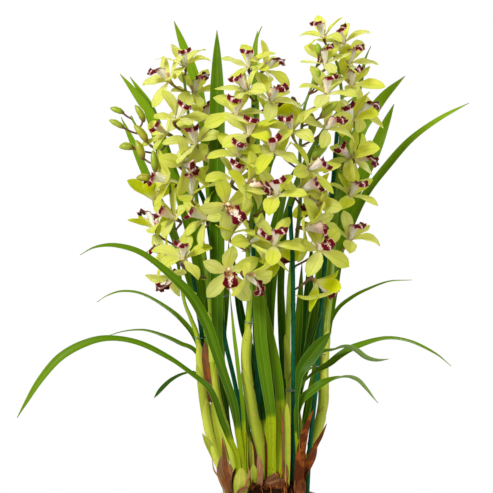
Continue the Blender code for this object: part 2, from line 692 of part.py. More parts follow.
def shoot_object(name, spec, group, mat):
    """One leafy shoot: a pseudobulb with its leaves, joined into one body."""
    x, y, depth, radius = spec["bulb"]
    obj = bulb_mesh(name, seen(x, y, depth), radius, group)
    pieces = make_collection(name + "_pieces")
    for number, (route, width, turn_base, turn_tip) in enumerate(spec["leaves"]):
        leaf_mesh(f"{name}_leaf_{number}", route, width, turn_base, turn_tip, pieces)
    boolean(obj, pieces, "UNION")
    obj.data.materials.clear()
    obj.data.materials.append(mat)
    return obj


def turned(name, profile, group):
    """A closed solid: the profile, from one place on the axis to another, turned once round it."""
    mesh = bpy.data.meshes.new(name)
    points = [(radius * MM, 0.0, height * MM) for radius, height in profile]
    mesh.from_pydata(points, [(i, i + 1) for i in range(len(profile) - 1)], [])
    obj = bpy.data.objects.new(name, mesh)
    group.objects.link(obj)
    turn = obj.modifiers.new("turn", "SCREW")
    turn.steps = POT_SIDES
    turn.render_steps = POT_SIDES
    turn.use_merge_vertices = True
    turn.merge_threshold = 0.0001
    return applied(obj)


def pot_object(group, mat):
    """The pot, from its floor up the inside, over the rim, down the banded outside and under the foot."""
    band_radius = POT_RIM_RADIUS - POT_BAND_TAPER
    under = band_radius - POT_BAND_STEP
    obj = turned("pot", [
        (0.0, POT_FLOOR),
        (inner_radius(POT_FLOOR), POT_FLOOR),
        (inner_radius(BAND_FOOT), BAND_FOOT),
        (inner_radius(POT_HEIGHT - POT_EDGE), POT_HEIGHT - POT_EDGE),
        (inner_radius(POT_HEIGHT) + POT_EDGE / 2, POT_HEIGHT),
        (POT_RIM_RADIUS - POT_EDGE, POT_HEIGHT),
        (POT_RIM_RADIUS, POT_HEIGHT - POT_EDGE),
        (band_radius, POT_HEIGHT - POT_BAND_HEIGHT),
        (under, BAND_FOOT),
        (POT_FOOT_RADIUS + POT_EDGE, POT_EDGE * 2),
        (POT_FOOT_RADIUS, 0.0),
        (0.0, 0.0),
    ], group)
    obj.data.materials.append(mat)
    obj.data.shade_smooth()
    obj.data.set_sharp_from_angle(angle=math.radians(POT_SHARP_ANGLE))
    return obj


def inner_radius(height):
    """The pot's inside radius at this height, in mm."""
    rim = POT_RIM_RADIUS - POT_WALL
    under = rim - POT_BAND_TAPER - POT_BAND_STEP
    foot = POT_FOOT_RADIUS - POT_WALL
    return np.interp(height, [POT_FLOOR, BAND_FOOT, POT_HEIGHT - POT_EDGE], [foot, under, rim])


def mix_height(x, y):
    """The top of the mix: a low mound with the chunky relief of bark."""
    share = min(math.hypot(x, y) / inner_radius(MIX_EDGE), 1.0)
    mound = (MIX_CROWN_ABOVE_RIM + MIX_EDGE_BELOW_RIM) * (1 - share**2.2)
    relief = math.sin(x * 0.29 + 1.3 * math.sin(y * 0.21)) * math.cos(y * 0.33 + 0.8 * math.sin(x * 0.17))
    return MIX_EDGE + mound + MIX_BARK_RELIEF * relief * (1 - share**6)


def mix_object(group, mat):
    """The growing mix: it fills the pot, with a plain hole round each thing that stands in it."""
    foot = POT_FLOOR + GAP
    edge_radius = inner_radius(MIX_EDGE) - GAP
    obj = turned("growing_mix", [
        (0.0, MIX_EDGE),
        (edge_radius * MIX_MIDDLE_SHARE, MIX_EDGE),
        (edge_radius, MIX_EDGE),
        (inner_radius(BAND_FOOT) - GAP, BAND_FOOT),
        (inner_radius(foot) - GAP, foot),
        (0.0, foot),
    ], group)
    for vert in obj.data.vertices:
        if vert.co.z > BAND_FOOT * 1.01 * MM:
            vert.co.z = mix_height(vert.co.x / MM, vert.co.y / MM) * MM
    holes = make_collection(CUTTERS)
    cut_holes(holes)
    boolean(obj, holes, "DIFFERENCE")
    obj.data.materials.append(mat)
    return obj


def cut_holes(holes):
    """Cutters a little wider and deeper than the foot of each stem, cane and bulb."""
    for name, spec in SPIKES.items():
        foot = smooth(route_of(spec["stem"]), STEM_POINTS)[:3]
        deeper = foot[0] - unit(foot[1] - foot[0]) * GAP
        radius = spec["thick"][0] * SIX_SIDES + GAP
        tube_mesh(name + "_hole", [deeper, *foot[1:]], [radius] * 3, 1, holes)
    for name, points in STAKES.items():
        route = route_of(points[:2])
        down = unit(route[0] - route[1])
        radius = STAKE_RADIUS * SIX_SIDES + GAP
        tube_mesh(name + "_hole", [route[0] + down * GAP, route[1]], [radius] * 2, 1, holes)
    for name, spec in SHOOTS.items():
        x, y, depth, radius = spec["bulb"]
        bulb_mesh(name + "_hole", seen(x, y, depth), radius, holes, GAP)
    for cutter in holes.objects:
        cutter.hide_render = True
        cutter.display_type = "WIRE"


def cane_object(name, points, group, mat):
    """A straight-grained support cane, slightly bent where it is tied."""
    route = route_of(points)
    length = np.linalg.norm(np.diff(route, axis=0), axis=1).sum()
    route = smooth(route, round(length / STAKE_STEP) + 1)
    obj = tube_mesh(name, route, [STAKE_RADIUS] * len(route), 1, group)
    obj.data.materials.append(mat)
    return obj


def tie_object(name, spike, cane, y, group, mat):
    """A wire loop round a stem and its cane."""
    stem = smooth(route_of(SPIKES[spike]["stem"]), 60)
    pole = smooth(route_of(STAKES[cane]), 60)
    height = seen(POT_AXIS_X, y, 0)[2]
    first, second = stem_at(stem, height), stem_at(pole, height)
    between = second - first
    between[2] = 0
    apart = np.linalg.norm(between)
    along = between / apart
    side = np.array([-along[1], along[0], 0.0])
    radii = radii_along(SPIKES[spike]["thick"], len(stem))
    near = np.interp(height, stem[:, 2], radii) + TIE_SLACK
    far = STAKE_RADIUS + TIE_SLACK
    curve = bpy.data.curves.new(name, "CURVE")
    curve.dimensions = "3D"
    curve.bevel_depth = TIE_WIRE_RADIUS * MM
    curve.bevel_resolution = 0
    spline = curve.splines.new("POLY")
    quarter, bend = 90.0, TIE_BEND
    turns = [(first, near, quarter + bend * step) for step in range(4)]
    turns += [(second, far, bend * step - quarter) for step in range(4)]
    spline.points.add(len(turns) - 1)
    spline.use_cyclic_u = True
    for corner, (middle, radius, degrees) in zip(spline.points, turns):
        angle = math.radians(degrees)
        place = middle + (along * math.cos(angle) + side * math.sin(angle)) * radius * SIX_SIDES
        place[2] = height + TIE_TILT * math.sin(angle)
        corner.co = (*(place * MM), 1.0)
    obj = made_mesh(name, curve, group)
    obj.data.materials.append(mat)
    return obj


def main():
    clear_scene()
    parts = make_collection(PARTS)
    ceramic = make_material("pale_ceramic", (0.68, 0.70, 0.69), 0.35)
    bark = make_material("bark_mix", (0.035, 0.018, 0.010), 0.9)
    flower = make_material("yellow_green_flower", (0.55, 0.62, 0.14), 0.45)
    leaf = make_material("strap_leaf", (0.07, 0.22, 0.015), 0.4)
    cane = make_material("green_cane", (0.01, 0.10, 0.055), 0.5)
    wire = make_material("tie_wire", (0.16, 0.22, 0.14), 0.4)
    pot_object(parts, ceramic)
    mix_object(parts, bark)
    for name, spec in SPIKES.items():
        spike_object(name, spec, parts, flower)
    for name, spec in SHOOTS.items():
        shoot_object(name, spec, parts, leaf)
    for name, points in STAKES.items():
        cane_object(name, points, parts, cane)
    for name, (spike, pole, y) in TIES.items():
        tie_object(name, spike, pole, y, parts, wire)


main()
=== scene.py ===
import math

import bpy
import numpy as np
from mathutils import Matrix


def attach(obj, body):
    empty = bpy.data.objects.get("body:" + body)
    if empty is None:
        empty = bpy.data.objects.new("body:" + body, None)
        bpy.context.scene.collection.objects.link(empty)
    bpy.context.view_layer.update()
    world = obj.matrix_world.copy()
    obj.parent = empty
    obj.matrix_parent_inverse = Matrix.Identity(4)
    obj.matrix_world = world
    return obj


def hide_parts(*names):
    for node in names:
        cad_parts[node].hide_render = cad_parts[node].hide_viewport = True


# A potted cymbidium with five flower spikes, in metres, +Z up, seen along +Y.
# Lengths below are in mm unless a note says otherwise.

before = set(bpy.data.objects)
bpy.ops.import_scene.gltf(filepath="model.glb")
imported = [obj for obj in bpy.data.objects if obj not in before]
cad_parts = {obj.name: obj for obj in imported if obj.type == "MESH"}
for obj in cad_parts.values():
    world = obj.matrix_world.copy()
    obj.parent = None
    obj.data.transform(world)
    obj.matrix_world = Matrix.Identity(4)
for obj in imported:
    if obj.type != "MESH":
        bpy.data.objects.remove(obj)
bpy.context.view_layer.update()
mm = 0.001
fullTurn = 2 * math.pi
vertical, awayWay = np.array([0.0, 0.0, 1.0]), np.array([0.0, 1.0, 0.0])

# How the reference picture shows the plant: mm for one step of its 493 px square, its middle,
# where the pot's axis stands in it, the height of its middle, and how far off the eye is.
pictureMm = 1.3
pictureMiddle = 246.5
potAxisX = 268.5
eyeHeight = 452.0
eyeDistance = 1900.0
pictureSide = 493.0
curveSteps = 24  # places worked out on each stretch of a curve
creaseAngle = 72.0  # edges sharper than this many degrees stay sharp


def seen(x, y, depth):  # the place at this depth that the picture shows at x, y
    reach = 1.0 + depth / eyeDistance
    across = (pictureMiddle - potAxisX) * pictureMm + pictureMm * (x - pictureMiddle) * reach
    return np.array([across, depth, eyeHeight + pictureMm * (pictureMiddle - y) * reach])


def runOf(paths):  # how far along its path each point lies
    steps = np.linalg.norm(np.diff(paths, axis=-2), axis=-1)
    return np.concatenate([np.zeros_like(steps[..., :1]), np.cumsum(steps, axis=-1)], axis=-1)


# one smooth curve through the points (each stretch a cubic whose slope at a point follows that
# point's neighbours), read at count places spread evenly along it
def smoothCurve(points, count):
    points = np.asarray(points, float)
    ends = np.vstack([2 * points[0] - points[1], points, 2 * points[-1] - points[-2]])
    before, start, end, after = (ends[i:len(ends) - 3 + i, None] for i in range(4))
    t = np.linspace(0, 1, curveSteps, endpoint=False)[None, :, None]
    fine = 0.5 * (2 * start + (end - before) * t + (2 * before - 5 * start + 4 * end - after) * t**2
                  + (3 * start - before - 3 * end + after) * t**3)
    fine = np.vstack([fine.reshape(-1, points.shape[1]), points[-1:]])
    run = runOf(fine)
    wanted = np.linspace(0, run[-1], count)
    return np.column_stack([np.interp(wanted, run, fine[:, axis]) for axis in range(points.shape[1])])


def pathOf(route, count):  # the smooth curve through the places of a route
    return smoothCurve([seen(*point) for point in route], count)


def unit(vectors):  # each vector at length one
    return vectors / np.maximum(np.linalg.norm(vectors, axis=-1, keepdims=True), 1e-12)


def squareTo(vectors, axes):  # the unit part of each vector that is square to its axis
    return unit(vectors - axes * np.sum(vectors * axes, axis=-1, keepdims=True))


def turnsOf(look):  # the angles of a ring's points
    return np.arange(look["sides"]) * fullTurn / look["sides"]


def alongOf(look):  # the share of the length at each row
    return np.linspace(0, 1, look["rows"])


def acrossOf(look):  # each column's place between the edges, -1 to 1
    return np.linspace(-1, 1, look["columns"])


def ringAt(radius, turn, height):  # places round the axis
    return np.stack(np.broadcast_arrays(radius * np.cos(turn), radius * np.sin(turn), height), axis=-1)


def spread(values, shares):  # values spread evenly along, read at the shares
    values = np.atleast_1d(values)
    return np.interp(shares, np.linspace(0, 1, len(values)), values)


def eased(look, name, shares):  # the look's values of this name at the shares, eased from knot to knot
    knots, values = look[name + "At"], look[name]
    place = np.clip(np.searchsorted(knots, shares, side="right") - 1, 0, len(knots) - 2)
    low, high = np.take(knots, place), np.take(knots, place + 1)
    t = np.clip((shares - low) / (high - low), 0, 1)
    t = t * t * (3 - 2 * t)
    return np.take(values, place) * (1 - t) + np.take(values, place + 1) * t


def stemAt(stem, height):  # the middle of the stem at this height
    height = np.clip(height, stem[0, 2], stem[-1, 2])
    return np.array([np.interp(height, stem[:, 2], stem[:, axis]) for axis in range(3)])


# Surfaces


def normalsOf(grid):  # square to the rows and columns of each grid
    return unit(np.cross(np.gradient(grid, axis=1), np.gradient(grid, axis=2)))


# thin closed sheets: grid is (sheets, rows along, columns across, 3), each sheet gets a face on both
# sides of its grid and a rim round it; the marks are values per grid point, kept as attributes
def sheets(grid, thickness, along, across, hue, **marks):
    half = normalsOf(grid) * np.broadcast_to(thickness, grid.shape[:3])[..., None] / 2
    points = np.concatenate([(grid + half).reshape(-1, 3), (grid - half).reshape(-1, 3)])
    front = np.arange(grid[..., 0].size).reshape(grid.shape[:3])
    back = front + front.size
    corners = (
        (front[:, :-1, :-1], front[:, 1:, :-1], front[:, 1:, 1:], front[:, :-1, 1:]),
        (back[:, :-1, :-1], back[:, :-1, 1:], back[:, 1:, 1:], back[:, 1:, :-1]),
        (front[:, :-1, 0], back[:, :-1, 0], back[:, 1:, 0], front[:, 1:, 0]),
        (front[:, :-1, -1], front[:, 1:, -1], back[:, 1:, -1], back[:, :-1, -1]),
        (front[:, 0, :-1], front[:, 0, 1:], back[:, 0, 1:], back[:, 0, :-1]),
        (front[:, -1, :-1], back[:, -1, :-1], back[:, -1, 1:], front[:, -1, 1:]),
    )
    quads = np.concatenate([np.stack(four, axis=-1).reshape(-1, 4) for four in corners])
    marks.update(along=np.reshape(along, (-1, 1)), across=across, hue=hue)
    kept = {name: np.tile(np.broadcast_to(value, front.shape).ravel(), 2) for name, value in marks.items()}
    kept["inner"] = np.repeat([1.0, 0.0], front.size)
    return {"points": points, "quads": quads, "triangles": np.zeros((0, 3), int), "marks": kept}


# closed shells: shell is (shells, rings, sides, 3), and a point closes each end; marks are per ring
def ringShells(shell, first, last, marks):
    count, rows, sides = shell.shape[:3]
    index = np.arange(count * rows * sides).reshape(count, rows, sides)
    turned = np.roll(index, -1, axis=2)
    foot = np.broadcast_to((index.size + np.arange(count))[:, None], (count, sides))
    kept = {}
    for name, value in marks.items():
        value = np.broadcast_to(value, (count, rows))
        kept[name] = np.concatenate([np.repeat(value.ravel(), sides), value[:, 0], value[:, -1]])
    quads = np.stack([index[:, :-1], index[:, 1:], turned[:, 1:], turned[:, :-1]], axis=-1)
    caps = (foot, index[:, 0], turned[:, 0]), (foot + count, turned[:, -1], index[:, -1])
    return {"points": np.concatenate([shell.reshape(-1, 3), first, last]), "quads": quads.reshape(-1, 4),
            "triangles": np.concatenate([np.stack(three, axis=-1).reshape(-1, 3) for three in caps]),
            "marks": kept}


# solid round bars: paths is (bars, rows, 3), radii is (bars, rows) or (bars, rows, sides) where the
# section is lobed; rings stand square to each path
def bars(paths, radii, sides, marks, endCap=0.35):  # endCap is how far its ends bulge, in radii
    count, rows = paths.shape[:2]
    along = unit(np.gradient(paths, axis=1))
    guide = np.eye(3)[np.argmin(np.abs(along.mean(axis=1)), axis=1)][:, None]
    side = unit(np.cross(along, guide))
    up, angle = np.cross(side, along), turnsOf({"sides": sides})
    radii = np.broadcast_to(radii[..., None] if np.ndim(radii) == 2 else radii, (count, rows, sides))
    ring = side[:, :, None] * np.cos(angle)[:, None] + up[:, :, None] * np.sin(angle)[:, None]
    first, last = (paths[:, end] + along[:, end] * radii[:, end].mean(axis=-1)[:, None] * reach
                   for end, reach in ((0, -endCap), (-1, endCap)))
    shape = ringShells(paths[:, :, None] + ring * radii[..., None], first, last, marks)
    shape["marks"]["turn"] = np.concatenate([np.tile(angle / fullTurn, count * rows), np.zeros(2 * count)])
    return shape


def joined(*shapes):  # several shapes as one, with the marks that all of them have
    starts = np.cumsum([0] + [len(shape["points"]) for shape in shapes])
    whole = {key: np.concatenate([shape[key] + start for shape, start in zip(shapes, starts)])
             for key in ("quads", "triangles")}
    whole["points"] = np.concatenate([shape["points"] for shape in shapes])
    names = sorted(set.intersection(*(set(shape["marks"]) for shape in shapes)))
    whole["marks"] = {name: np.concatenate([shape["marks"][name] for shape in shapes]) for name in names}
    return whole


def makePiece(name, shape, finish, node):  # the shape as an object that rides on the root
    quads, triangles = shape["quads"], shape["triangles"]
    corners = np.concatenate([quads.ravel(), triangles.ravel()]).astype(np.int32)
    starts = np.concatenate([np.arange(len(quads)) * 4, quads.size + np.arange(len(triangles)) * 3])
    mesh = bpy.data.meshes.new(name)
    mesh.vertices.add(len(shape["points"]))
    mesh.vertices.foreach_set("co", (shape["points"] * mm).astype(np.float32).ravel())
    mesh.loops.add(len(corners))
    mesh.loops.foreach_set("vertex_index", corners)
    mesh.polygons.add(len(starts))
    mesh.polygons.foreach_set("loop_start", starts.astype(np.int32))
    mesh.update(calc_edges=True)
    for key, values in shape["marks"].items():
        mark = mesh.attributes.new(key, "FLOAT", "POINT")
        mark.data.foreach_set("value", values.astype(np.float32))
    mesh.shade_smooth()
    mesh.set_sharp_from_angle(angle=math.radians(creaseAngle))
    mesh.materials.append(finishes[finish])
    piece = bpy.data.objects.new(name, mesh)
    bpy.context.scene.collection.objects.link(piece)
    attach(piece, "root")
    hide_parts(node)


# Finishes. Colours are given as a screen shows them, 0 to 255.


def tone(red, green, blue):  # the linear colour that a node takes
    share = np.array([red, green, blue]) / 255
    linear = np.where(share > 0.04045, ((share + 0.055) / 1.055)**2.4, share / 12.92)
    return (*linear.tolist(), 1.0)


class Finish:  # a material's node tree, with short calls for the nodes that the finishes use
    def __init__(self, name, **settings):
        self.material = bpy.data.materials.new(name)
        self.material.use_nodes = True
        self.tree = self.material.node_tree
        self.shader = self.tree.nodes["Principled BSDF"]
        for socket, value in settings.items():
            self.shader.inputs[socket.replace("_", " ")].default_value = value

    def put(self, socket, value):
        if isinstance(value, bpy.types.NodeSocket):
            self.tree.links.new(value, socket)
        else:
            socket.default_value = value

    def add(self, kind, inputs, **settings):
        made = self.tree.nodes.new("ShaderNode" + kind)
        for key, value in settings.items():
            setattr(made, key, value)
        for key, value in inputs.items():
            self.put(made.inputs[key], value)
        return made

    def marks(self, *names):  # values kept on the piece's points, see sheets and ringShells
        return [self.add("Attribute", {}, attribute_name=name).outputs["Fac"] for name in names]

    def calc(self, operation, first, second=0.0):
        return self.add("Math", {0: first, 1: second}, operation=operation).outputs[0]

    def times(self, first, second):
        return self.calc("MULTIPLY", first, second)

    def plus(self, first, second):
        return self.calc("ADD", first, second)

    def noise(self, scale, detail=3.0, rough=0.55, spot=None):  # on object coordinates, or at the spot
        spot = spot or self.add("TexCoord", {}).outputs["Object"]
        return self.add("TexNoise", {"Vector": spot, "Scale": scale, "Detail": detail,
                                     "Roughness": rough}).outputs["Fac"]

    # fine lines that run lengthwise: noise on (a mark across, the mark along), each scaled
    def lines(self, side, sideScale, along, alongScale, own=0.0, detail=3.0, rough=0.6):
        spot = self.add("CombineXYZ", {"X": self.times(side, sideScale), "Y": self.times(along, alongScale),
                                       "Z": own})
        return self.noise(1.0, detail, rough, spot.outputs[0])

    def band(self, value, low, high, first=0.0, second=1.0):  # first below low, second above high
        return self.add("MapRange", {"Value": value, "From Min": low, "From Max": high, "To Min": first,
                                     "To Max": second}, interpolation_type="SMOOTHSTEP").outputs["Result"]

    def mix(self, share, first, second):
        node = self.add("Mix", {0: share}, data_type="RGBA")
        for index, value in ((6, first), (7, second)):
            self.put(node.inputs[index], tone(*value) if isinstance(value, tuple) else value)
        return node.outputs[2]

    # each layer is a share, or a value and its band, and then the colour that it blends in
    def layered(self, skin, layers):
        for *share, colour in layers:
            skin = self.mix(self.band(*share) if len(share) > 1 else share[0], skin, colour)
        return skin

    def done(self, skin, layers, height, distance, strength):  # distance of the bump in metres
        self.put(self.shader.inputs["Base Color"], self.layered(skin, layers))
        made = self.add("Bump", {"Height": height, "Distance": distance, "Strength": strength})
        self.put(self.shader.inputs["Normal"], made.outputs["Normal"])
        return self.material


def tepalFinish():  # thin pale yellow-green petals: fine veins, a greener back, a warm foot, edges painted paler as if lit through
    finish = Finish("tepal", Roughness=0.45, Subsurface_Weight=0.75, Subsurface_Scale=0.006,
                    Subsurface_Radius=(1.0, 0.9, 0.25), Specular_IOR_Level=0.06)
    along, across, hue, inner = finish.marks("along", "across", "hue", "inner")
    veins, edge = finish.lines(across, 11.0, along, 1.6, hue), finish.calc("ABSOLUTE", across)
    back = finish.mix(hue, (176, 192, 0), (208, 212, 26))
    face = finish.mix(hue, (214, 218, 60), (236, 232, 132))
    return finish.done(finish.mix(inner, back, face), [
        (veins, 0.40, 0.66, 0, 0.40, (178, 198, 14)),
        (edge, 0.03, 0.16, 0.34, 0, (170, 192, 16)),
        # painted light: the outer edges are paler, as if light shines through the thin petal
        (edge, 0.6, 1, 0, 0.45, (214, 220, 70)),
        (along, 0.72, 1, 0, 0.5, (180, 204, 40)),
        (along, 0.10, 0.40, 0.45, 0, (236, 230, 176)),
        (along, 0.02, 0.16, 0.6, 0, (208, 168, 100))], veins, 0.0004, 0.35)


def lipFinish():  # cream outside, wine margin and speckles within, a yellow throat
    finish = Finish("lip", Roughness=0.42, Subsurface_Weight=0.3, Subsurface_Scale=0.0012,
                    Specular_IOR_Level=0.1)
    along, across, hue, inner = finish.marks("along", "across", "hue", "inner")
    edge, spots, wine = finish.calc("ABSOLUTE", across), finish.noise(430.0, 2.0, 0.5), (96, 1, 14)
    streaks = finish.lines(across, 9.0, along, 13.0, finish.times(hue, 30.0), 2.0, 0.5)
    # wine spreads from the margins inward and breaks up into streaks where it thins out
    margin = finish.band(finish.plus(edge, finish.band(along, 0.58, 0.80, 0, 0.36)), 0.25, 0.95)
    wined = finish.band(finish.plus(streaks, finish.times(margin, 0.42)), 0.56, 0.62)
    throat = finish.mix(finish.band(spots, 0.50, 0.56), (234, 200, 130), (160, 70, 50))
    inside = finish.mix(finish.band(along, 0.26, 0.44), throat, finish.mix(wined, (244, 222, 200), wine))
    rim = finish.calc("MAXIMUM", finish.band(edge, 0.93, 0.98), finish.band(along, 0.965, 0.99))
    rim = finish.times(finish.times(rim, finish.band(along, 0.5, 0.62)), 0.7)
    inside = finish.mix(rim, inside, (236, 168, 160))
    rosy = finish.plus(finish.times(along, 0.8), finish.times(hue, 0.4))
    lobes = finish.times(finish.band(edge, 0.86, 0.94), finish.band(along, 0.34, 0.46))
    outside = finish.layered((252, 246, 234), [
        (rosy, 0.36, 0.95, (232, 184, 172)),
        (finish.plus(along, finish.times(streaks, 0.2)), 0.66, 0.80, 0, 0.95, (104, 6, 20)),
        (finish.times(lobes, 0.85), wine)])
    return finish.done(finish.mix(inner, outside, inside), [], spots, 0.0003, 0.3)


def columnFinish():  # pale column, pink above, with a cream cap
    finish = Finish("column", Roughness=0.35, Subsurface_Weight=0.25, Subsurface_Scale=0.002)
    (along,), speck = finish.marks("along"), finish.noise(700.0, 2.0)
    return finish.done((214, 206, 120), [
        (along, 0.15, 0.6, (236, 176, 160)),
        (along, 0.78, 0.88, (250, 232, 190)),
        (speck, 0.58, 0.68, 0, 0.5, (170, 70, 80))], speck, 0.0002, 0.3)


def stalkFinish():  # flower stalks, dark wine-brown, greener on some and toward the flower
    finish = Finish("flower_stalk", Roughness=0.4)
    (along, hue), patch = finish.marks("along", "hue"), finish.noise(160.0)
    dark, light = (finish.mix(patch, *pair) for pair in (((84, 36, 26), (126, 74, 34)),
                                                         ((140, 116, 34), (176, 158, 52))))
    return finish.done(dark, [
        (finish.plus(hue, finish.times(patch, 0.4)), 0.75, 1.15, light),
        (along, 0.86, 1, 0, 0.8, (186, 178, 60))], patch, 0.0003, 0.3)


def budFinish():  # olive green buds, wine-brown at the foot and along the seams
    finish = Finish("bud", Roughness=0.4, Subsurface_Weight=0.15, Subsurface_Scale=0.002)
    (along, hue, turn), patch = finish.marks("along", "hue", "turn"), finish.noise(120.0)
    seam = finish.calc("ABSOLUTE", finish.calc("SINE", finish.times(turn, 3 * math.pi)))
    foot = finish.plus(along, finish.times(patch, 0.3))
    return finish.done(finish.mix(hue, (146, 178, 24), (176, 172, 40)), [
        (seam, 0, 0.35, 0.45, 0, (112, 104, 24)),
        (foot, 0.12, 0.55, 0.85, 0, (110, 62, 34))], patch, 0.0003, 0.3)


def stemFinish():  # spike stems: yellower below, with long faint lines and a few brown patches
    finish = Finish("spike_stem", Roughness=0.36, Subsurface_Weight=0.1, Subsurface_Scale=0.002)
    along, turn = finish.marks("along", "turn")
    lines = finish.lines(turn, 26.0, along, 7.0)
    return finish.done((168, 188, 10), [
        (along, 0.25, 0.8, (114, 156, 12)),
        (lines, 0.4, 0.7, 0, 0.5, (92, 128, 20)),
        (finish.noise(34.0, 4.0), 0.62, 0.78, 0, 0.4, (150, 110, 44))], lines, 0.0003, 0.4)


def sheathFinish():  # the pale green sheaths that clasp the stems and the shoots' feet
    finish = Finish("green_sheath", Roughness=0.4, Subsurface_Weight=0.2, Subsurface_Scale=0.002)
    along, across, hue = finish.marks("along", "across", "hue")
    lines = finish.lines(across, 15.0, along, 1.5, finish.times(hue, 9.0))
    sides = finish.band(finish.calc("ABSOLUTE", across), 0.90, 0.99)
    edge = finish.calc("MAXIMUM", sides, finish.band(along, 0.93, 1))
    return finish.done(finish.mix(hue, (158, 170, 18), (200, 206, 66)), [
        (lines, 0.38, 0.68, 0, 0.6, (146, 168, 18)),
        (finish.times(edge, 0.7), (196, 160, 90)),
        (finish.noise(260.0, 3.0, 0.7), 0.62, 0.70, 0, 0.55, (120, 70, 30))], lines, 0.0004, 0.5)


def dryFinish():  # dead papery sheaths, from dark brown to tan, with long fibres
    finish = Finish("dry_sheath", Roughness=0.7, Specular_IOR_Level=0.12)
    along, across, hue = finish.marks("along", "across", "hue")
    fibres = finish.lines(across, 13.0, along, 1.4, finish.times(hue, 9.0), 4.0, 0.7)
    return finish.done(finish.mix(hue, (104, 46, 6), (198, 152, 104)), [
        (fibres, 0.35, 0.65, 0, 0.85, (52, 22, 6)),
        (finish.noise(70.0, 4.0), 0.50, 0.66, 0, 0.6, (164, 84, 20))], fibres, 0.0008, 0.8)


def leafFinish():  # strap leaves: fine lengthwise lines, a faint midrib, a yellow-green foot, painted shade and light
    finish = Finish("leaf", Subsurface_Weight=0.12, Subsurface_Scale=0.003,
                    Subsurface_Radius=(0.6, 1.0, 0.1), Specular_IOR_Level=0.08)
    along, across, hue, foot, inner = finish.marks("along", "across", "hue", "foot", "inner")
    lines = finish.lines(across, 10.0, along, 1.5, finish.times(hue, 17.0))
    edge = finish.calc("ABSOLUTE", across)
    # painted shade: the lower blade is darkened toward the foot, the more so on the darker leaves
    paintedShade = finish.times(finish.band(along, 0.12, 0.5, 0.8, 0), finish.calc("SUBTRACT", 1.0, hue))
    # painted light: the upper blade of the lighter leaves is brightened toward the tip, as if sunlit
    paintedLight = finish.times(finish.band(along, 0.5, 0.95, 0, 0.5), hue)
    # the base green runs dark to light with each leaf's hue: partly its own tone, partly painted shade on
    # leaves deep in the clump
    blade = finish.layered(finish.mix(hue, (6, 42, 4), (98, 138, 0)), [
        (lines, 0.34, 0.68, finish.mix(hue, (24, 72, 4), (138, 174, 20))),
        (finish.noise(14.0, 2.0), 0.35, 0.7, 0, 0.22, (52, 100, 0)),
        (paintedShade, (16, 46, 0)),
        (paintedLight, (142, 170, 24)),
        (edge, 0.02, 0.10, 0.35, 0, (128, 162, 36)),
        (edge, 0.92, 1, 0, 0.35, (146, 172, 56)),
        (inner, 0.4, 0.6, 0.55, 0, (140, 162, 96)),
        (along, 0.98, 1, 0, 0.7, (140, 130, 40))])
    sheath = finish.layered((118, 138, 4), [
        (lines, 0.36, 0.66, (158, 170, 18)),
        (finish.noise(240.0, 3.0, 0.7), 0.58, 0.68, 0, 0.65, (110, 66, 26))])
    finish.put(finish.shader.inputs["Roughness"], finish.band(lines, 0.3, 0.7, 0.34, 0.46))
    return finish.done(finish.mix(foot, blade, sheath), [], lines, 0.0002, 0.3)


def bulbFinish():  # ribbed green bulbs, yellower in patches
    finish = Finish("bulb", Roughness=0.6, Subsurface_Weight=0.12, Subsurface_Scale=0.003,
                    Specular_IOR_Level=0.15)
    along, turn = finish.marks("along", "turn")
    lines = finish.lines(turn, 34.0, along, 2.0)
    return finish.done((150, 162, 44), [
        (finish.noise(60.0), 0.35, 0.7, (188, 184, 72)),
        (lines, 0.42, 0.7, 0, 0.6, (112, 124, 30))], lines, 0.0006, 0.6)


def mixFinish(name, dark, mid, light, grain):  # bark, crumbs and roots: rough, with mottled colour
    finish = Finish(name, Roughness=0.88, Specular_IOR_Level=0.05)
    coarse, fine = finish.noise(grain, 5.0, 0.65), finish.noise(grain * 6, 4.0, 0.7)
    mottled = finish.plus(coarse, finish.times(*finish.marks("hue"), 0.35))
    return finish.done(dark, [
        (mottled, 0.45, 0.80, mid),
        (fine, 0.58, 0.80, 0, 0.6, light)], fine, 0.0012, 0.9)


def glazeFinish():  # pale satin glaze with faint mottling and a few pinholes
    finish = Finish("pot_glaze", Coat_Weight=0.35, Coat_Roughness=0.12)
    patch, fine = finish.noise(22.0, 4.0), finish.noise(420.0)
    finish.put(finish.shader.inputs["Roughness"], finish.band(patch, 0.3, 0.75, 0.24, 0.36))
    relief = finish.plus(patch, finish.times(fine, 0.1))
    return finish.done((214, 216, 213), [
        (patch, 0.3, 0.75, (226, 227, 223)),
        (fine, 0.70, 0.78, 0, 0.35, (186, 186, 180))], relief, 0.0008, 0.25)


def caneFinish():  # green painted canes with a lengthwise grain, worn paler in specks
    finish = Finish("cane_paint", Roughness=0.5, Specular_IOR_Level=0.12)
    along, turn = finish.marks("along", "turn")
    grain = finish.lines(turn, 18.0, along, 60.0, 0.0, 4.0, 0.65)
    return finish.done((4, 60, 30), [
        (grain, 0.3, 0.7, (20, 104, 64)),
        (finish.noise(300.0, 3.0, 0.7), 0.64, 0.74, 0, 0.4, (96, 150, 100))], grain, 0.0006, 0.5)


def wireFinish():  # thin galvanised tie wire, dull grey-green
    finish = Finish("tie_wire", Roughness=0.42, Metallic=0.6)
    patch = finish.noise(500.0)
    return finish.done((88, 104, 92), [(patch, 0.35, 0.7, (150, 162, 152))], patch, 0.0002, 0.4)


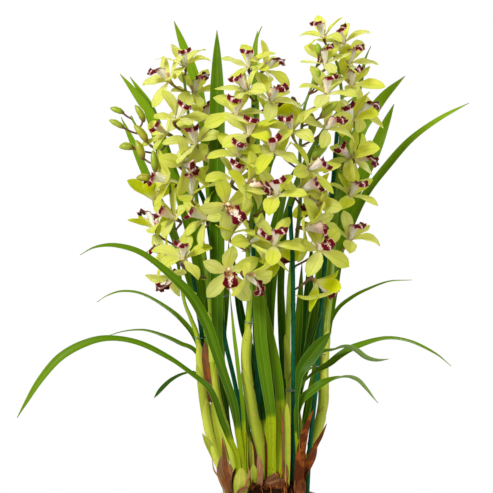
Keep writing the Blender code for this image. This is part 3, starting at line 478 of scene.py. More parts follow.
finishes = {
    "tepal": tepalFinish(), "lip": lipFinish(), "column": columnFinish(), "stalk": stalkFinish(),
    "bud": budFinish(), "stem": stemFinish(), "sheath": sheathFinish(), "dry": dryFinish(),
    "leaf": leafFinish(), "bulb": bulbFinish(), "glaze": glazeFinish(), "cane": caneFinish(),
    "wire": wireFinish(),
    "mound": mixFinish("mix_soil", (26, 11, 3), (54, 27, 9), (98, 56, 24), 90.0),
    "bark": mixFinish("bark", (30, 13, 4), (82, 42, 16), (148, 90, 42), 120.0),
    "root": mixFinish("root", (112, 56, 18), (168, 104, 44), (204, 156, 92), 150.0),
}
print("made the finishes")


# Flower spikes

# The five spikes. "stem" is its route from the foot up as (picture x, picture y, depth in mm away from
# the viewer), and "thick" its radii along it. Each flower is (picture x, picture y, depth, facing
# (right, up, toward the viewer), size), and then its top sepal's direction where it doesn't lean to the
# stem. Each bud is (its tip, its base, depth, picture width). Each of the clasps, which are sheaths on
# the lower stem, is (picture y of the foot and of the tip, half the turn it covers, how far the tip
# stands off, the turn of its middle: 0 away from the viewer, 180 toward). The long petals hang across
# other flowers: each is (route, width, turns, how blunt).
spikes = {
    "flower_spike_1": {"stem": [(229, 500, 6), (224, 475, 7), (212, 440, 12), (204, 400, 18),
        (198, 341, 28), (191, 319, 31), (184, 300, 35), (178, 262, 44), (173, 215, 46), (168, 178, 46),
        (158, 152, 45), (147, 142, 44), (135, 124, 42), (131, 116, 42)],
        "thick": (6.2, 5.4, 2.2, 2, 1.4), "flowers": [
        (168, 134, 40, (-13, 8, 6), 0.92), (171, 181, 20, (-16, 4, 4), 1), (155, 201, 52, (-1, 12, -8), 1),
        (176, 219, 24, (-15, 9, 4), 1), (156, 229, 62, (-5, 14, -4), 1), (169, 256, 34, (-15, 9, 3), 1),
        (173, 274, 38, (-5, -14, 5), 0.95),
    ], "buds": [
        ((110, 108), (124, 113), 44, 7), ((109, 120), (124, 128), 38, 7), ((135, 105), (144, 122), 46, 8),
        ((134, 125), (147, 142), 30, 9), ((119, 147), (134, 148), 48, 9), ((136, 140), (143, 160), 32, 9),
        ((153, 150), (155, 172), 32, 9), ((136, 178), (152, 178), 52, 9),
    ], "clasps": [
        (470, 400, 150, 2, 150), (425, 366, 140, 2, 230), (392, 344, 130, 2.5, 170),
    ]},
    "flower_spike_2": {"stem": [(241, 500, -8), (233, 457, -7), (226, 430, -5), (218, 400, -3),
        (213.5, 370, -2), (212, 345, 0), (210, 298, 4), (204, 255, 8), (197, 205, 10), (195, 175, 10),
        (192, 145, 10), (189, 120, 8), (186, 93, 6), (183, 74, 4)],
        "thick": (4.6, 4.2, 3.4, 2.6, 1.6), "flowers": [
        (185, 67, 0, (-2, 16, 2), 0.88), (170, 81, 0, (-10, 11, 3), 0.95), (194, 93, 24, (3, 15, 3), 0.95),
        (177, 119, -18, (8, 13, 4), 1), (196, 144, -14, (-4, 17, 4), 1), (183, 165, -22, (12, 0, 11), 1),
        (192, 195, -4, (0, 17, -3), 1), (206, 219, -7, (-16, 8, 4), 0.95), (183, 260, -14, (2, 18, 3), 1),
        (206, 123, 42, (-1, 18, 0), 0.95), (209, 162, 42, (-1, 15, 0), 0.95),
    ], "clasps": [
        (470, 410, 150, 1.5, 180), (418, 360, 140, 2, 120), (362, 312, 125, 2.5, 210),
    ]},
    "flower_spike_3": {"stem": [(267, 500, -22), (264, 470, -22), (262, 450, -23), (254, 420, -25),
        (249, 390, -27), (246, 360, -29), (248, 330, -31), (250, 290, -34), (248, 260, -35),
        (250, 230, -36), (254, 200, -36), (256, 160, -36), (256, 130, -34), (256, 100, -30), (254, 80, -28),
        (251, 70, -26)],
        "thick": (6.6, 6.2, 3.4, 2.6, 1.6), "flowers": [
        (249, 67, -30, (0, 18, 3), 0.88), (264, 70, -18, (11, 11, 4), 0.88),
        (247, 91, -45, (-9, 15, 4), 0.95), (271, 101, -35, (5, 14, 7), 1), (236, 115, -46, (2, 14, 5), 1),
        (249, 135, -58, (3, 15, 4), 1), (270, 119, -8, (3, 14, -6), 0.95), (239, 157, -52, (3, 13, 6), 1),
        (272, 151, -56, (-1, 14, 8), 1), (234, 180, -52, (5, 13, 3), 1),
        (247, 185, -62, (14, 2, 9), 1.05, (-3, 14, 0)), (276, 196, -62, (-1, 16, 4), 1),
        (250, 242, -50, (15, 11, 5), 1), (274, 245, -52, (2, 17, 5), 1),
        (246, 275, -64, (13, -7, 10), 1, (6, 14, 0)), (231, 234, -48, (3, 12, -3), 0.95),
        (275, 250, -4, (5, -3, -14), 0.92), (226, 205, -60, (7, -5, 14), 1.05, (-13, 22, 0)),
        (228, 272, -56, (2, -2, 17), 1, (0, 20, 0)),
    ], "clasps": [
        (474, 410, 150, 2, 160), (428, 366, 150, 2, 220), (384, 323, 140, 3, 176),
    ], "long": [
        ([(252, 245, -60), (266, 252, -68), (279, 262, -68), (290, 273, -62)], 5, (60, 80), 2.6),
    ]},
    "flower_spike_4": {"stem": [(285, 500, -6), (286, 465, -6), (289, 400, -6), (288, 370, -5),
        (288, 340, -5), (289, 295, -4), (292, 262, -3), (297, 235, -2), (300, 205, 0), (300, 172, 0),
        (300, 150, 0), (302, 125, 0), (305, 105, 0), (311, 88, 0), (315, 72, 0), (318, 62, 0)],
        "thick": (4.4, 3.8, 3, 2.4, 1.4), "flowers": [
        (325, 64, 4, (-2, 17, 2), 0.85), (327, 94, -16, (0, 18, 3), 0.95),
        (292, 102, 30, (-3, -10, -10), 0.9), (292, 132, -26, (-4, 14, 5), 1),
        (283, 155, 26, (-6, 10, -8), 0.95), (326, 129, -18, (8, 10, 6), 1), (309, 170, -30, (13, 8, 5), 1),
        (299, 191, -24, (18, 9, 4), 1.05), (320, 204, 6, (-12, 3, 8), 1), (304, 228, -28, (21, 0, 5), 1.05),
        (319, 250, -28, (3, 8, 14), 1, (-6, 14, 0)), (315, 281, -8, (12, -6, -10), 1),
    ], "buds": [
        ((317, 43), (319, 56), -6, 7), ((327, 45), (322, 60), 4, 8), ((319, 70), (316, 86), -10, 8),
        ((337, 72), (321, 87), -12, 9), ((338, 102), (320, 118), -30, 9), ((312, 137), (311, 113), -10, 9),
        ((329, 140), (312, 160), -24, 10), ((327, 190), (321, 204), -24, 8),
    ], "clasps": [
        (472, 420, 150, 1.5, 180), (428, 372, 140, 2, 130), (378, 334, 120, 2, 220),
    ], "long": [
        ([(333, 292, -20), (320, 296, -24), (306, 298, -24), (295, 295, -20)], 6, (60, 76), 2.6),
    ]},
    "flower_spike_5": {"stem": [(302, 500, 8), (304, 478, 8), (311, 452, 8), (317.5, 430, 10),
        (323.5, 400, 14), (323.5, 365, 20), (325.5, 330, 27), (329, 300, 34), (333, 250, 42),
        (336, 215, 44), (339, 185, 45), (340, 160, 45), (341, 130, 44), (342, 100, 42), (340, 80, 38),
        (337, 64, 34), (331, 50, 30), (328, 44, 28)],
        "thick": (3.4, 4.6, 5.8, 5.8, 5, 4, 3.4, 3, 2.6, 2.1, 1.6), "flowers": [
        (324, 38, 22, (-4, 12, 6), 0.88, (0, 12, 0)), (344, 43, 40, (-8, 14, 5), 0.88),
        (349, 63, 36, (3, 15, 4), 0.95), (351, 86, 34, (0, 16, 4), 1), (357, 115, 52, (13, 14, 4), 1),
        (352, 120, 26, (-7, 15, 6), 1), (350, 158, 28, (-12, 12, 6), 1), (354, 160, 50, (13, 3, 8), 1),
        (350, 196, 34, (6, 14, 4), 1), (350, 240, 28, (5, 22, 4), 1),
    ], "clasps": [
        (470, 408, 150, 2, 170), (430, 372, 145, 2.5, 220), (392, 330, 130, 2.5, 160),
    ]},
}
flowerShape = {
    "seed": 7,
    "sizes": ((42.5, 20.5), (42.0, 19.0), (42.5, 20.0), (42.5, 20.0), (42.0, 19.0)),  # length, width
    "angles": (0, 68, 138, 222, 292),  # round the face
    # off its axis: in flowers that look at the viewer, and in those seen from the side
    "leans": (68, 77, 86, 86, 77), "sideLeans": (38, 42, 80, 80, 42),
    "upAngles": (-46, 46, 112, 180, 248), "upLeans": (34, 34, 58, 96, 58),  # in flowers that face up
    "angleJitter": 6, "leanJitter": 9, "sizeJitter": 0.05, "jitterLimit": 1.8,
    "arch": 0.26, "curl": 0.36, "drift": 0.07, "twist": 0.30, "fold": 0.22, "ruffle": 0.10,
    "flowerHue": 0.20, "tepalHue": 0.22,
    "widthAt": (0, 0.12, 0.30, 0.50, 0.66, 0.82, 0.93, 1),
    "width": (0.24, 0.36, 0.70, 0.96, 0.98, 0.76, 0.43, 0.05),
    "thickness": 0.75, "rows": 11, "columns": 5, "startOut": 1.5,
    # how far those that look up or down are turned toward the viewer, unless they look away by more
    # than tiltFrom, and what pulls the tops that aren't given away from the viewer and up
    "tilt": 0.42, "tiltFrom": -4, "crownPull": (0, 0.5, 0.9),
    "longThickness": 0.5, "longFrom": 0.3,  # the long petals look like a tepal's part beyond this share
}
lipShape = {
    "middle": ((0.0, -1.0), (7.0, -3.4), (16.0, -4.4), (22.0, -5.4), (24.6, -8.2),
               (24.0, -12.0), (22.0, -13.6)),  # forward, up
    "halfAt": (0, 0.15, 0.35, 0.52, 0.64, 0.80, 0.93, 1), "half": (2.6, 5.0, 8.0, 10.0, 6.2, 8.4, 6.8, 1.8),
    "bendAt": (0, 0.15, 0.40, 0.52, 0.66, 0.80, 1), "bend": (1.6, 2.3, 2.1, 1.75, 0.8, -0.2, -0.5),
    "size": 1.24, "ruffle": 2.4, "ruffleTurns": 5.5, "ridge": 1.3, "ridgeAt": 0.14, "ridgeWide": 0.09,
    "thickness": 0.8, "rows": 19, "columns": 15,
}
columnShape = {
    "middle": ((-1.0, -0.5), (3.0, 2.2), (7.0, 4.3), (10.4, 5.2), (12.6, 3.9)),  # forward, up
    "radiusAt": (0, 0.3, 0.7, 0.85, 1), "radius": (3.0, 2.1, 1.8, 2.4, 1.5), "rows": 11, "sides": 8,
}
stalkShape = {"fall": 7.0, "fallShare": 0.55, "sag": 1.0, "back": 8.4, "ribDepth": 0.10,
              "rows": 13, "sides": 8,
              "radiusAt": (0, 0.12, 0.35, 0.62, 0.85, 1), "radius": (2.1, 1.45, 1.35, 1.8, 2.5, 3.1)}
budShape = {"fall": 8.0, "inside": 3.0, "bow": (0.5, 1.6), "seamDepth": 0.10, "rows": 12, "sides": 12,
            "radiusAt": (0, 0.10, 0.28, 0.62, 0.86, 0.97, 1),
            "radius": (0.30, 0.62, 0.92, 0.94, 0.62, 0.25, 0.08)}
budStalkShape = {"rows": 9, "sides": 8, "sag": 1.5, "radiusAt": (0, 0.2, 0.8, 1),
                 "radius": (1.9, 1.3, 1.35, 1.9)}
stemShape = {"rows": 120, "sides": 14, "nodeEvery": 46.0, "nodeSwell": 0.10, "nodeWide": 0.002}
claspShape = {"rows": 15, "columns": 13, "thickness": 0.6, "gap": 0.7}
bractShape = {"rows": 6, "columns": 3, "thickness": 0.5, "length": (6.0, 10.0), "half": 2.4, "gap": 1.9}


# Where each flower is and how it is turned: its middle, the way it faces, its top sepal's way, its
# right, and its size. Where no top is given, the top leans to the stem and up.
def flowerFrames(stem, rows):
    middles, facing, tops = np.array([seen(*row[:3]) for row in rows]), [], []
    for middle, (_, _, _, (right, up, toward), _, *crown) in zip(middles, rows):
        tilt = flowerShape["tilt"] * abs(up) if not crown and toward > flowerShape["tiltFrom"] else 0
        facing.append((right, -toward - tilt, up))
        if crown:
            right, up, toward = crown[0]
            tops.append(np.array([right, -toward, up], float))
        else:
            tops.append(unit(stemAt(stem, middle[2]) - middle) + flowerShape["crownPull"])
    facing = unit(np.array(facing, float))
    top = squareTo(np.array(tops), facing)
    return middles, facing, top, np.cross(top, facing), np.array([row[4] for row in rows])


# Tepals: a middle line leaves along its spoke, tips toward the flower's face by arch at first and back
# by curl at the end, and drifts to one side; the half width is a share of the tepal's own, and across
# it the sheet folds up at its edges, ruffles and twists with the distance out
def tepalSheets(frames, draw):
    look, (middles, facing, top, right, sizes) = flowerShape, frames
    along, across = alongOf(look), acrossOf(look)
    along = along * (1.22 - 0.22 * along)  # rows lie closer toward the tip

    def vary(amount, *shape):  # chance shares of the amount, one for each tepal
        limit = look["jitterLimit"]
        shares = draw.normal(0, 1, (len(middles), len(look["sizes"]), *shape))
        return np.clip(shares, -limit, limit) * amount

    def blend(share, key, other):  # from the other values to the look's own as the share grows
        return np.array(other) * (1 - share) + np.array(look[key]) * share

    opened = np.clip(0.15 - facing[:, 1:2] * 1.3, 0, 1)  # how far the flower looks at the viewer
    upward = np.clip(0.75 - facing[:, 1:2] * -0.9, 0, 1) * np.clip(facing[:, 2:] * 2.2 - 0.6, 0, 1)
    angle = blend(upward, "upAngles", look["angles"])
    angle = np.radians(angle + vary(look["angleJitter"]))[..., None]
    lean = blend(upward, "upLeans", blend(opened, "leans", look["sideLeans"]))
    top = squareTo(top * (1 - upward) + awayWay * 1.5 * upward, facing)
    right = np.cross(top, facing)
    lean = np.radians(lean + vary(look["leanJitter"]))[..., None]
    size = (sizes[:, None] * (1 + vary(look["sizeJitter"])))[..., None] * np.array(look["sizes"])
    length, half = size[..., 0, None], size[..., 1, None] / 2
    spoke = top[:, None] * np.cos(angle) + right[:, None] * np.sin(angle)
    out = spoke * np.sin(lean) + facing[:, None] * np.cos(lean)
    face = facing[:, None] * np.sin(lean) - spoke * np.cos(lean)
    wide = np.cross(facing[:, None], spoke)
    arch, curl = look["arch"] * (1 + vary(0.4, 1)), look["curl"] * (0.7 + vary(0.9, 1))
    heading = arch * (1 - 2 * along) - curl * along**3
    step = np.diff(along) * length

    def run(slope):  # the running sum of a slope along the middle line
        inner = np.cumsum((slope[..., 1:] + slope[..., :-1]) / 2 * step, axis=-1)
        return np.concatenate([np.zeros_like(inner[..., :1]), inner], axis=-1)

    reach, lift = run(np.cos(heading)), run(np.sin(heading))
    drift = vary(look["drift"], 1) * length * along**2
    line = (middles[:, None, None] + spoke[:, :, None] * look["startOut"]
            + out[:, :, None] * reach[..., None] + face[:, :, None] * lift[..., None]
            + wide[:, :, None] * drift[..., None])
    normal = face[:, :, None] * np.cos(heading)[..., None] - out[:, :, None] * np.sin(heading)[..., None]
    twist = (vary(look["twist"], 1) * along)[..., None]
    side = wide[:, :, None] * np.cos(twist) + normal * np.sin(twist)
    normal = normal * np.cos(twist) - wide[:, :, None] * np.sin(twist)
    width = half * eased(look, "width", along)
    fold = look["fold"] * (1 + vary(0.8, 1)) * (1.25 - along)
    wave = vary(look["ruffle"], 1) * np.sin(fullTurn * (1.6 * along + vary(0.5, 1)))
    rise = fold[..., None] * np.abs(across)**1.5 + wave[..., None] * across * np.abs(across)
    grid = (line[:, :, :, None] + side[:, :, :, None] * (width[..., None] * across)[..., None]
            + normal[:, :, :, None] * (width[..., None] * rise)[..., None])
    grid = grid.reshape(-1, look["rows"], look["columns"], 3)
    thick = look["thickness"] * (1 - 0.55 * np.abs(across)) * (1.25 - 0.5 * along)[:, None]
    hue = np.clip(0.5 + vary(look["flowerHue"])[:, :1] + vary(look["tepalHue"]), 0, 1)
    return sheets(grid, thick, along, across, hue.reshape(-1, 1, 1))


# Lips: a middle line runs forward under the column and turns down; each cross-section is an arc of
# half length half(along) bent through bend(along), so the side lobes stand up round the column; its
# edge is ruffled on the front lobe and two ridges run up its middle
def lipSheets(frames, draw):
    look, (middles, facing, top, right, sizes), count = lipShape, frames, len(frames[0])
    along, across = alongOf(look)[:, None], acrossOf(look)
    line = smoothCurve(look["middle"], look["rows"])
    way = unit(np.gradient(line, axis=0))
    half = eased(look, "half", along)
    phase = draw.uniform(0, fullTurn, (count, 1, 1))
    cupped = 1 + np.clip(draw.normal(0, 0.14, (count, 1, 1)), -0.25, 0.25)
    bend = eased(look, "bend", along) * across * cupped
    flat = half * across * np.sinc(bend / math.pi)
    rise = half * across * bend / 2 * np.sinc(bend / fullTurn)**2
    front = np.clip((along - 0.5) / 0.3, 0, 1)
    ruffle = look["ruffle"] * (0.35 + 0.65 * front) * np.abs(across)**3
    rise = rise + ruffle * np.sin(look["ruffleTurns"] * fullTurn * along + phase + 2.0 * np.sign(across))
    ridges = np.exp(-((np.abs(across) - look["ridgeAt"]) / look["ridgeWide"])**2)
    rise = rise + look["ridge"] * ridges * np.sin(np.clip(along / 0.62, 0, 1) * math.pi)
    forward, up = line[:, 0, None] - way[:, 1, None] * rise, line[:, 1, None] + way[:, 0, None] * rise
    grow = sizes[:, None, None, None] * look["size"]
    grid = middles[:, None, None] + grow * (right[:, None, None] * flat[..., None]
                                            + facing[:, None, None] * forward[..., None]
                                            + top[:, None, None] * up[..., None])
    return sheets(grid, look["thickness"], along, across, draw.uniform(0, 1, (count, 1, 1)))


def columnBars(frames):  # the columns: round bars along a low arch to a cap
    look, (middles, facing, top, _, sizes) = columnShape, frames
    line = smoothCurve(look["middle"], look["rows"]) * sizes[:, None, None]
    paths = middles[:, None] + facing[:, None] * line[..., :1] + top[:, None] * line[..., 1:]
    along = alongOf(look)
    return bars(paths, eased(look, "radius", along) * sizes[:, None], look["sides"], {"along": along}, 0.6)


# the back of each flower, and where its stalk leaves the stem: lower down the farther it stands off
def stalkEnds(stem, frames):
    middles, facing, *_, sizes = frames
    behind, roots = middles - facing * (stalkShape["back"] * sizes)[:, None], []
    for back, height in zip(behind, middles[:, 2]):
        low = min(back[2], height)
        off = np.hypot(*(back - stemAt(stem, low))[:2])
        roots.append(stemAt(stem, low - max(stalkShape["fall"], stalkShape["fallShare"] * off)))
    return behind, np.array(roots)


# Flower stalks: each leaves the stem below its flower, sags, and swells into a three-ribbed ovary that
# ends at the flower's back
def stalkBars(frames, behind, roots, draw):
    look, (middles, facing, *_, sizes) = stalkShape, frames
    sag = roots * 0.42 + behind * 0.58 - (0, 0, look["sag"])
    points = np.stack([roots, sag, behind, middles + facing * 0.5], axis=1)
    paths = np.array([smoothCurve(four, look["rows"]) for four in points])
    along = alongOf(look)
    late = np.clip((along - 0.45) / 0.2, 0, 1)[:, None]
    ribs = 1 + look["ribDepth"] * np.cos(3 * turnsOf(look)) * late
    radii = eased(look, "radius", along)[None, :, None] * ribs * np.sqrt(sizes)[:, None, None]
    return bars(paths, radii, look["sides"], {"along": along, "hue": draw.uniform(0, 1, (len(sizes), 1))})


def budBars(stem, rows, draw):  # buds with three seams, and their stalks
    look, under, paths, widths, stalks = budShape, budStalkShape, [], [], []
    for tip, base, depth, width in rows:
        foot, point = seen(*base, depth), seen(*tip, depth)
        way = unit(point - foot)
        bow = squareTo(vertical, way) * draw.uniform(*look["bow"])
        paths.append(smoothCurve([foot, (foot + point) / 2 + bow, point], look["rows"]))
        widths.append([width * pictureMm / 2])
        root = stemAt(stem, foot[2] - look["fall"])
        sag = (root * 0.45 + foot * 0.55) - (0, 0, under["sag"])
        stalks.append(smoothCurve([root, sag, foot + way * look["inside"]], under["rows"]))
    along, share = alongOf(look), alongOf(under)
    seams = 1 - look["seamDepth"] * (1 - np.abs(np.sin(1.5 * turnsOf(look))))**3
    radii = eased(look, "radius", along) * np.array(widths)
    hue = draw.uniform(0, 1, (len(rows), 1))
    buds = bars(np.array(paths), radii[..., None] * seams, look["sides"], {"along": along, "hue": hue}, 0.5)
    radii = eased(under, "radius", share)[None].repeat(len(rows), axis=0)
    return buds, bars(np.array(stalks), radii, under["sides"], {"along": share * 0.8, "hue": hue})


# Sheets wrapped round paths: at each row the sheet lies radius from the path and covers spread radians
# to each side of its own turn
def wrapGrid(paths, radii, turns, spreads, across):
    paths, radii, spreads = (np.array(rows)[:, :, None] for rows in (paths, radii, spreads))
    along = unit(np.gradient(paths, axis=1))
    away = squareTo(awayWay, along)
    angle = np.array(turns)[:, None, None] + spreads * across
    ring = away * np.cos(angle)[..., None] + np.cross(away, along) * np.sin(angle)[..., None]
    return paths + ring * radii[..., None]


def claspSheets(stem, radii, rows, draw):  # sheaths that clasp a stem and end in a point standing off it
    look, share, across = claspShape, alongOf(claspShape), acrossOf(claspShape)
    paths, gaps, turns, spreads = [], [], [], []
    for footY, tipY, half, off, turn in rows:
        low, high = (seen(potAxisX, y, 0)[2] for y in (footY, tipY))
        places = np.array([stemAt(stem, height) for height in low + (high - low) * share])
        paths.append(places)
        gaps.append(np.interp(places[:, 2], stem[:, 2], radii) + look["gap"] + off * share**3)
        turns.append(math.radians(turn))
        spreads.append(math.radians(half) * np.clip(1 - share**2.6, 0.02, 1))
    grid, hue = wrapGrid(paths, gaps, turns, spreads, across), draw.uniform(0, 1, (len(rows), 1, 1))
    return sheets(grid, look["thickness"], share, across, hue)


def bractSheets(roots, ways, draw):  # a small pointed bract under the root of each flower stalk
    look, share, across = bractShape, alongOf(bractShape), acrossOf(bractShape)
    down = squareTo(-vertical, ways)
    side = np.cross(ways, down)
    length = draw.uniform(*look["length"], (len(roots), 1))
    line = (roots[:, None] + ways[:, None] * (length * share)[..., None]
            + down[:, None] * (look["gap"] + 0.25 * length * share**2)[..., None])
    half = look["half"] * np.clip(1 - share**1.6, 0.05, 1)
    grid = (line[:, :, None] + side[:, None, None] * (half[:, None] * across)[..., None]
            - down[:, None, None] * (0.9 * half[:, None] * np.abs(across))[..., None])
    return sheets(grid, look["thickness"], share, across, draw.uniform(0, 1, (len(roots), 1, 1)))


def stemOf(spike):  # a spike's stem, and its radii spread evenly along it
    return pathOf(spike["stem"], stemShape["rows"]), spread(spike["thick"], alongOf(stemShape))


def makeSpikes():  # each spike's flowers, buds, stalks, stem and sheaths
    slot, look = "yellow_green_flower", flowerShape
    for number, (node, spike) in enumerate(spikes.items(), 1):
        draw, (stem, radii) = np.random.default_rng(look["seed"] + number), stemOf(spike)
        frames = flowerFrames(stem, spike["flowers"])
        middles, facing, *_ = frames
        tepals = tepalSheets(frames, draw)
        if "long" in spike:
            grid = np.array([leafGrid(*row) for row in spike["long"]])
            share = look["longFrom"] + (1 - look["longFrom"]) * leafAlong
            tepals = joined(tepals, sheets(grid, look["longThickness"], share, leafAcross, 0.5))
        makePiece(f"tepals_{number}", tepals, "tepal", node)
        makePiece(f"lips_{number}", lipSheets(frames, draw), "lip", node)
        makePiece(f"columns_{number}", columnBars(frames), "column", node)
        behind, roots = stalkEnds(stem, frames)
        stalks = stalkBars(frames, behind, roots, draw)
        if "buds" in spike:
            buds, budStalks = budBars(stem, spike["buds"], draw)
            makePiece(f"buds_{number}", buds, "bud", node)
            stalks = joined(stalks, budStalks)
        makePiece(f"flower_stalks_{number}", stalks, "stalk", node)
        nodes = (runOf(stem) / stemShape["nodeEvery"] + 0.5) % 1 - 0.5  # how far the nearest node is
        swell = 1 + stemShape["nodeSwell"] * np.exp(-nodes**2 / stemShape["nodeWide"])
        shape = bars(stem[None], (radii * swell)[None], stemShape["sides"], {"along": alongOf(stemShape)})
        makePiece(f"spike_stem_{number}", shape, "stem", node)
        clasps = claspSheets(stem, radii, spike["clasps"], draw)
        bracts = bractSheets(roots, unit(middles - facing * stalkShape["back"] - roots), draw)
        makePiece(f"spike_sheaths_{number}", joined(clasps, bracts), "sheath", node)
        print("made", node)


# Leafy shoots

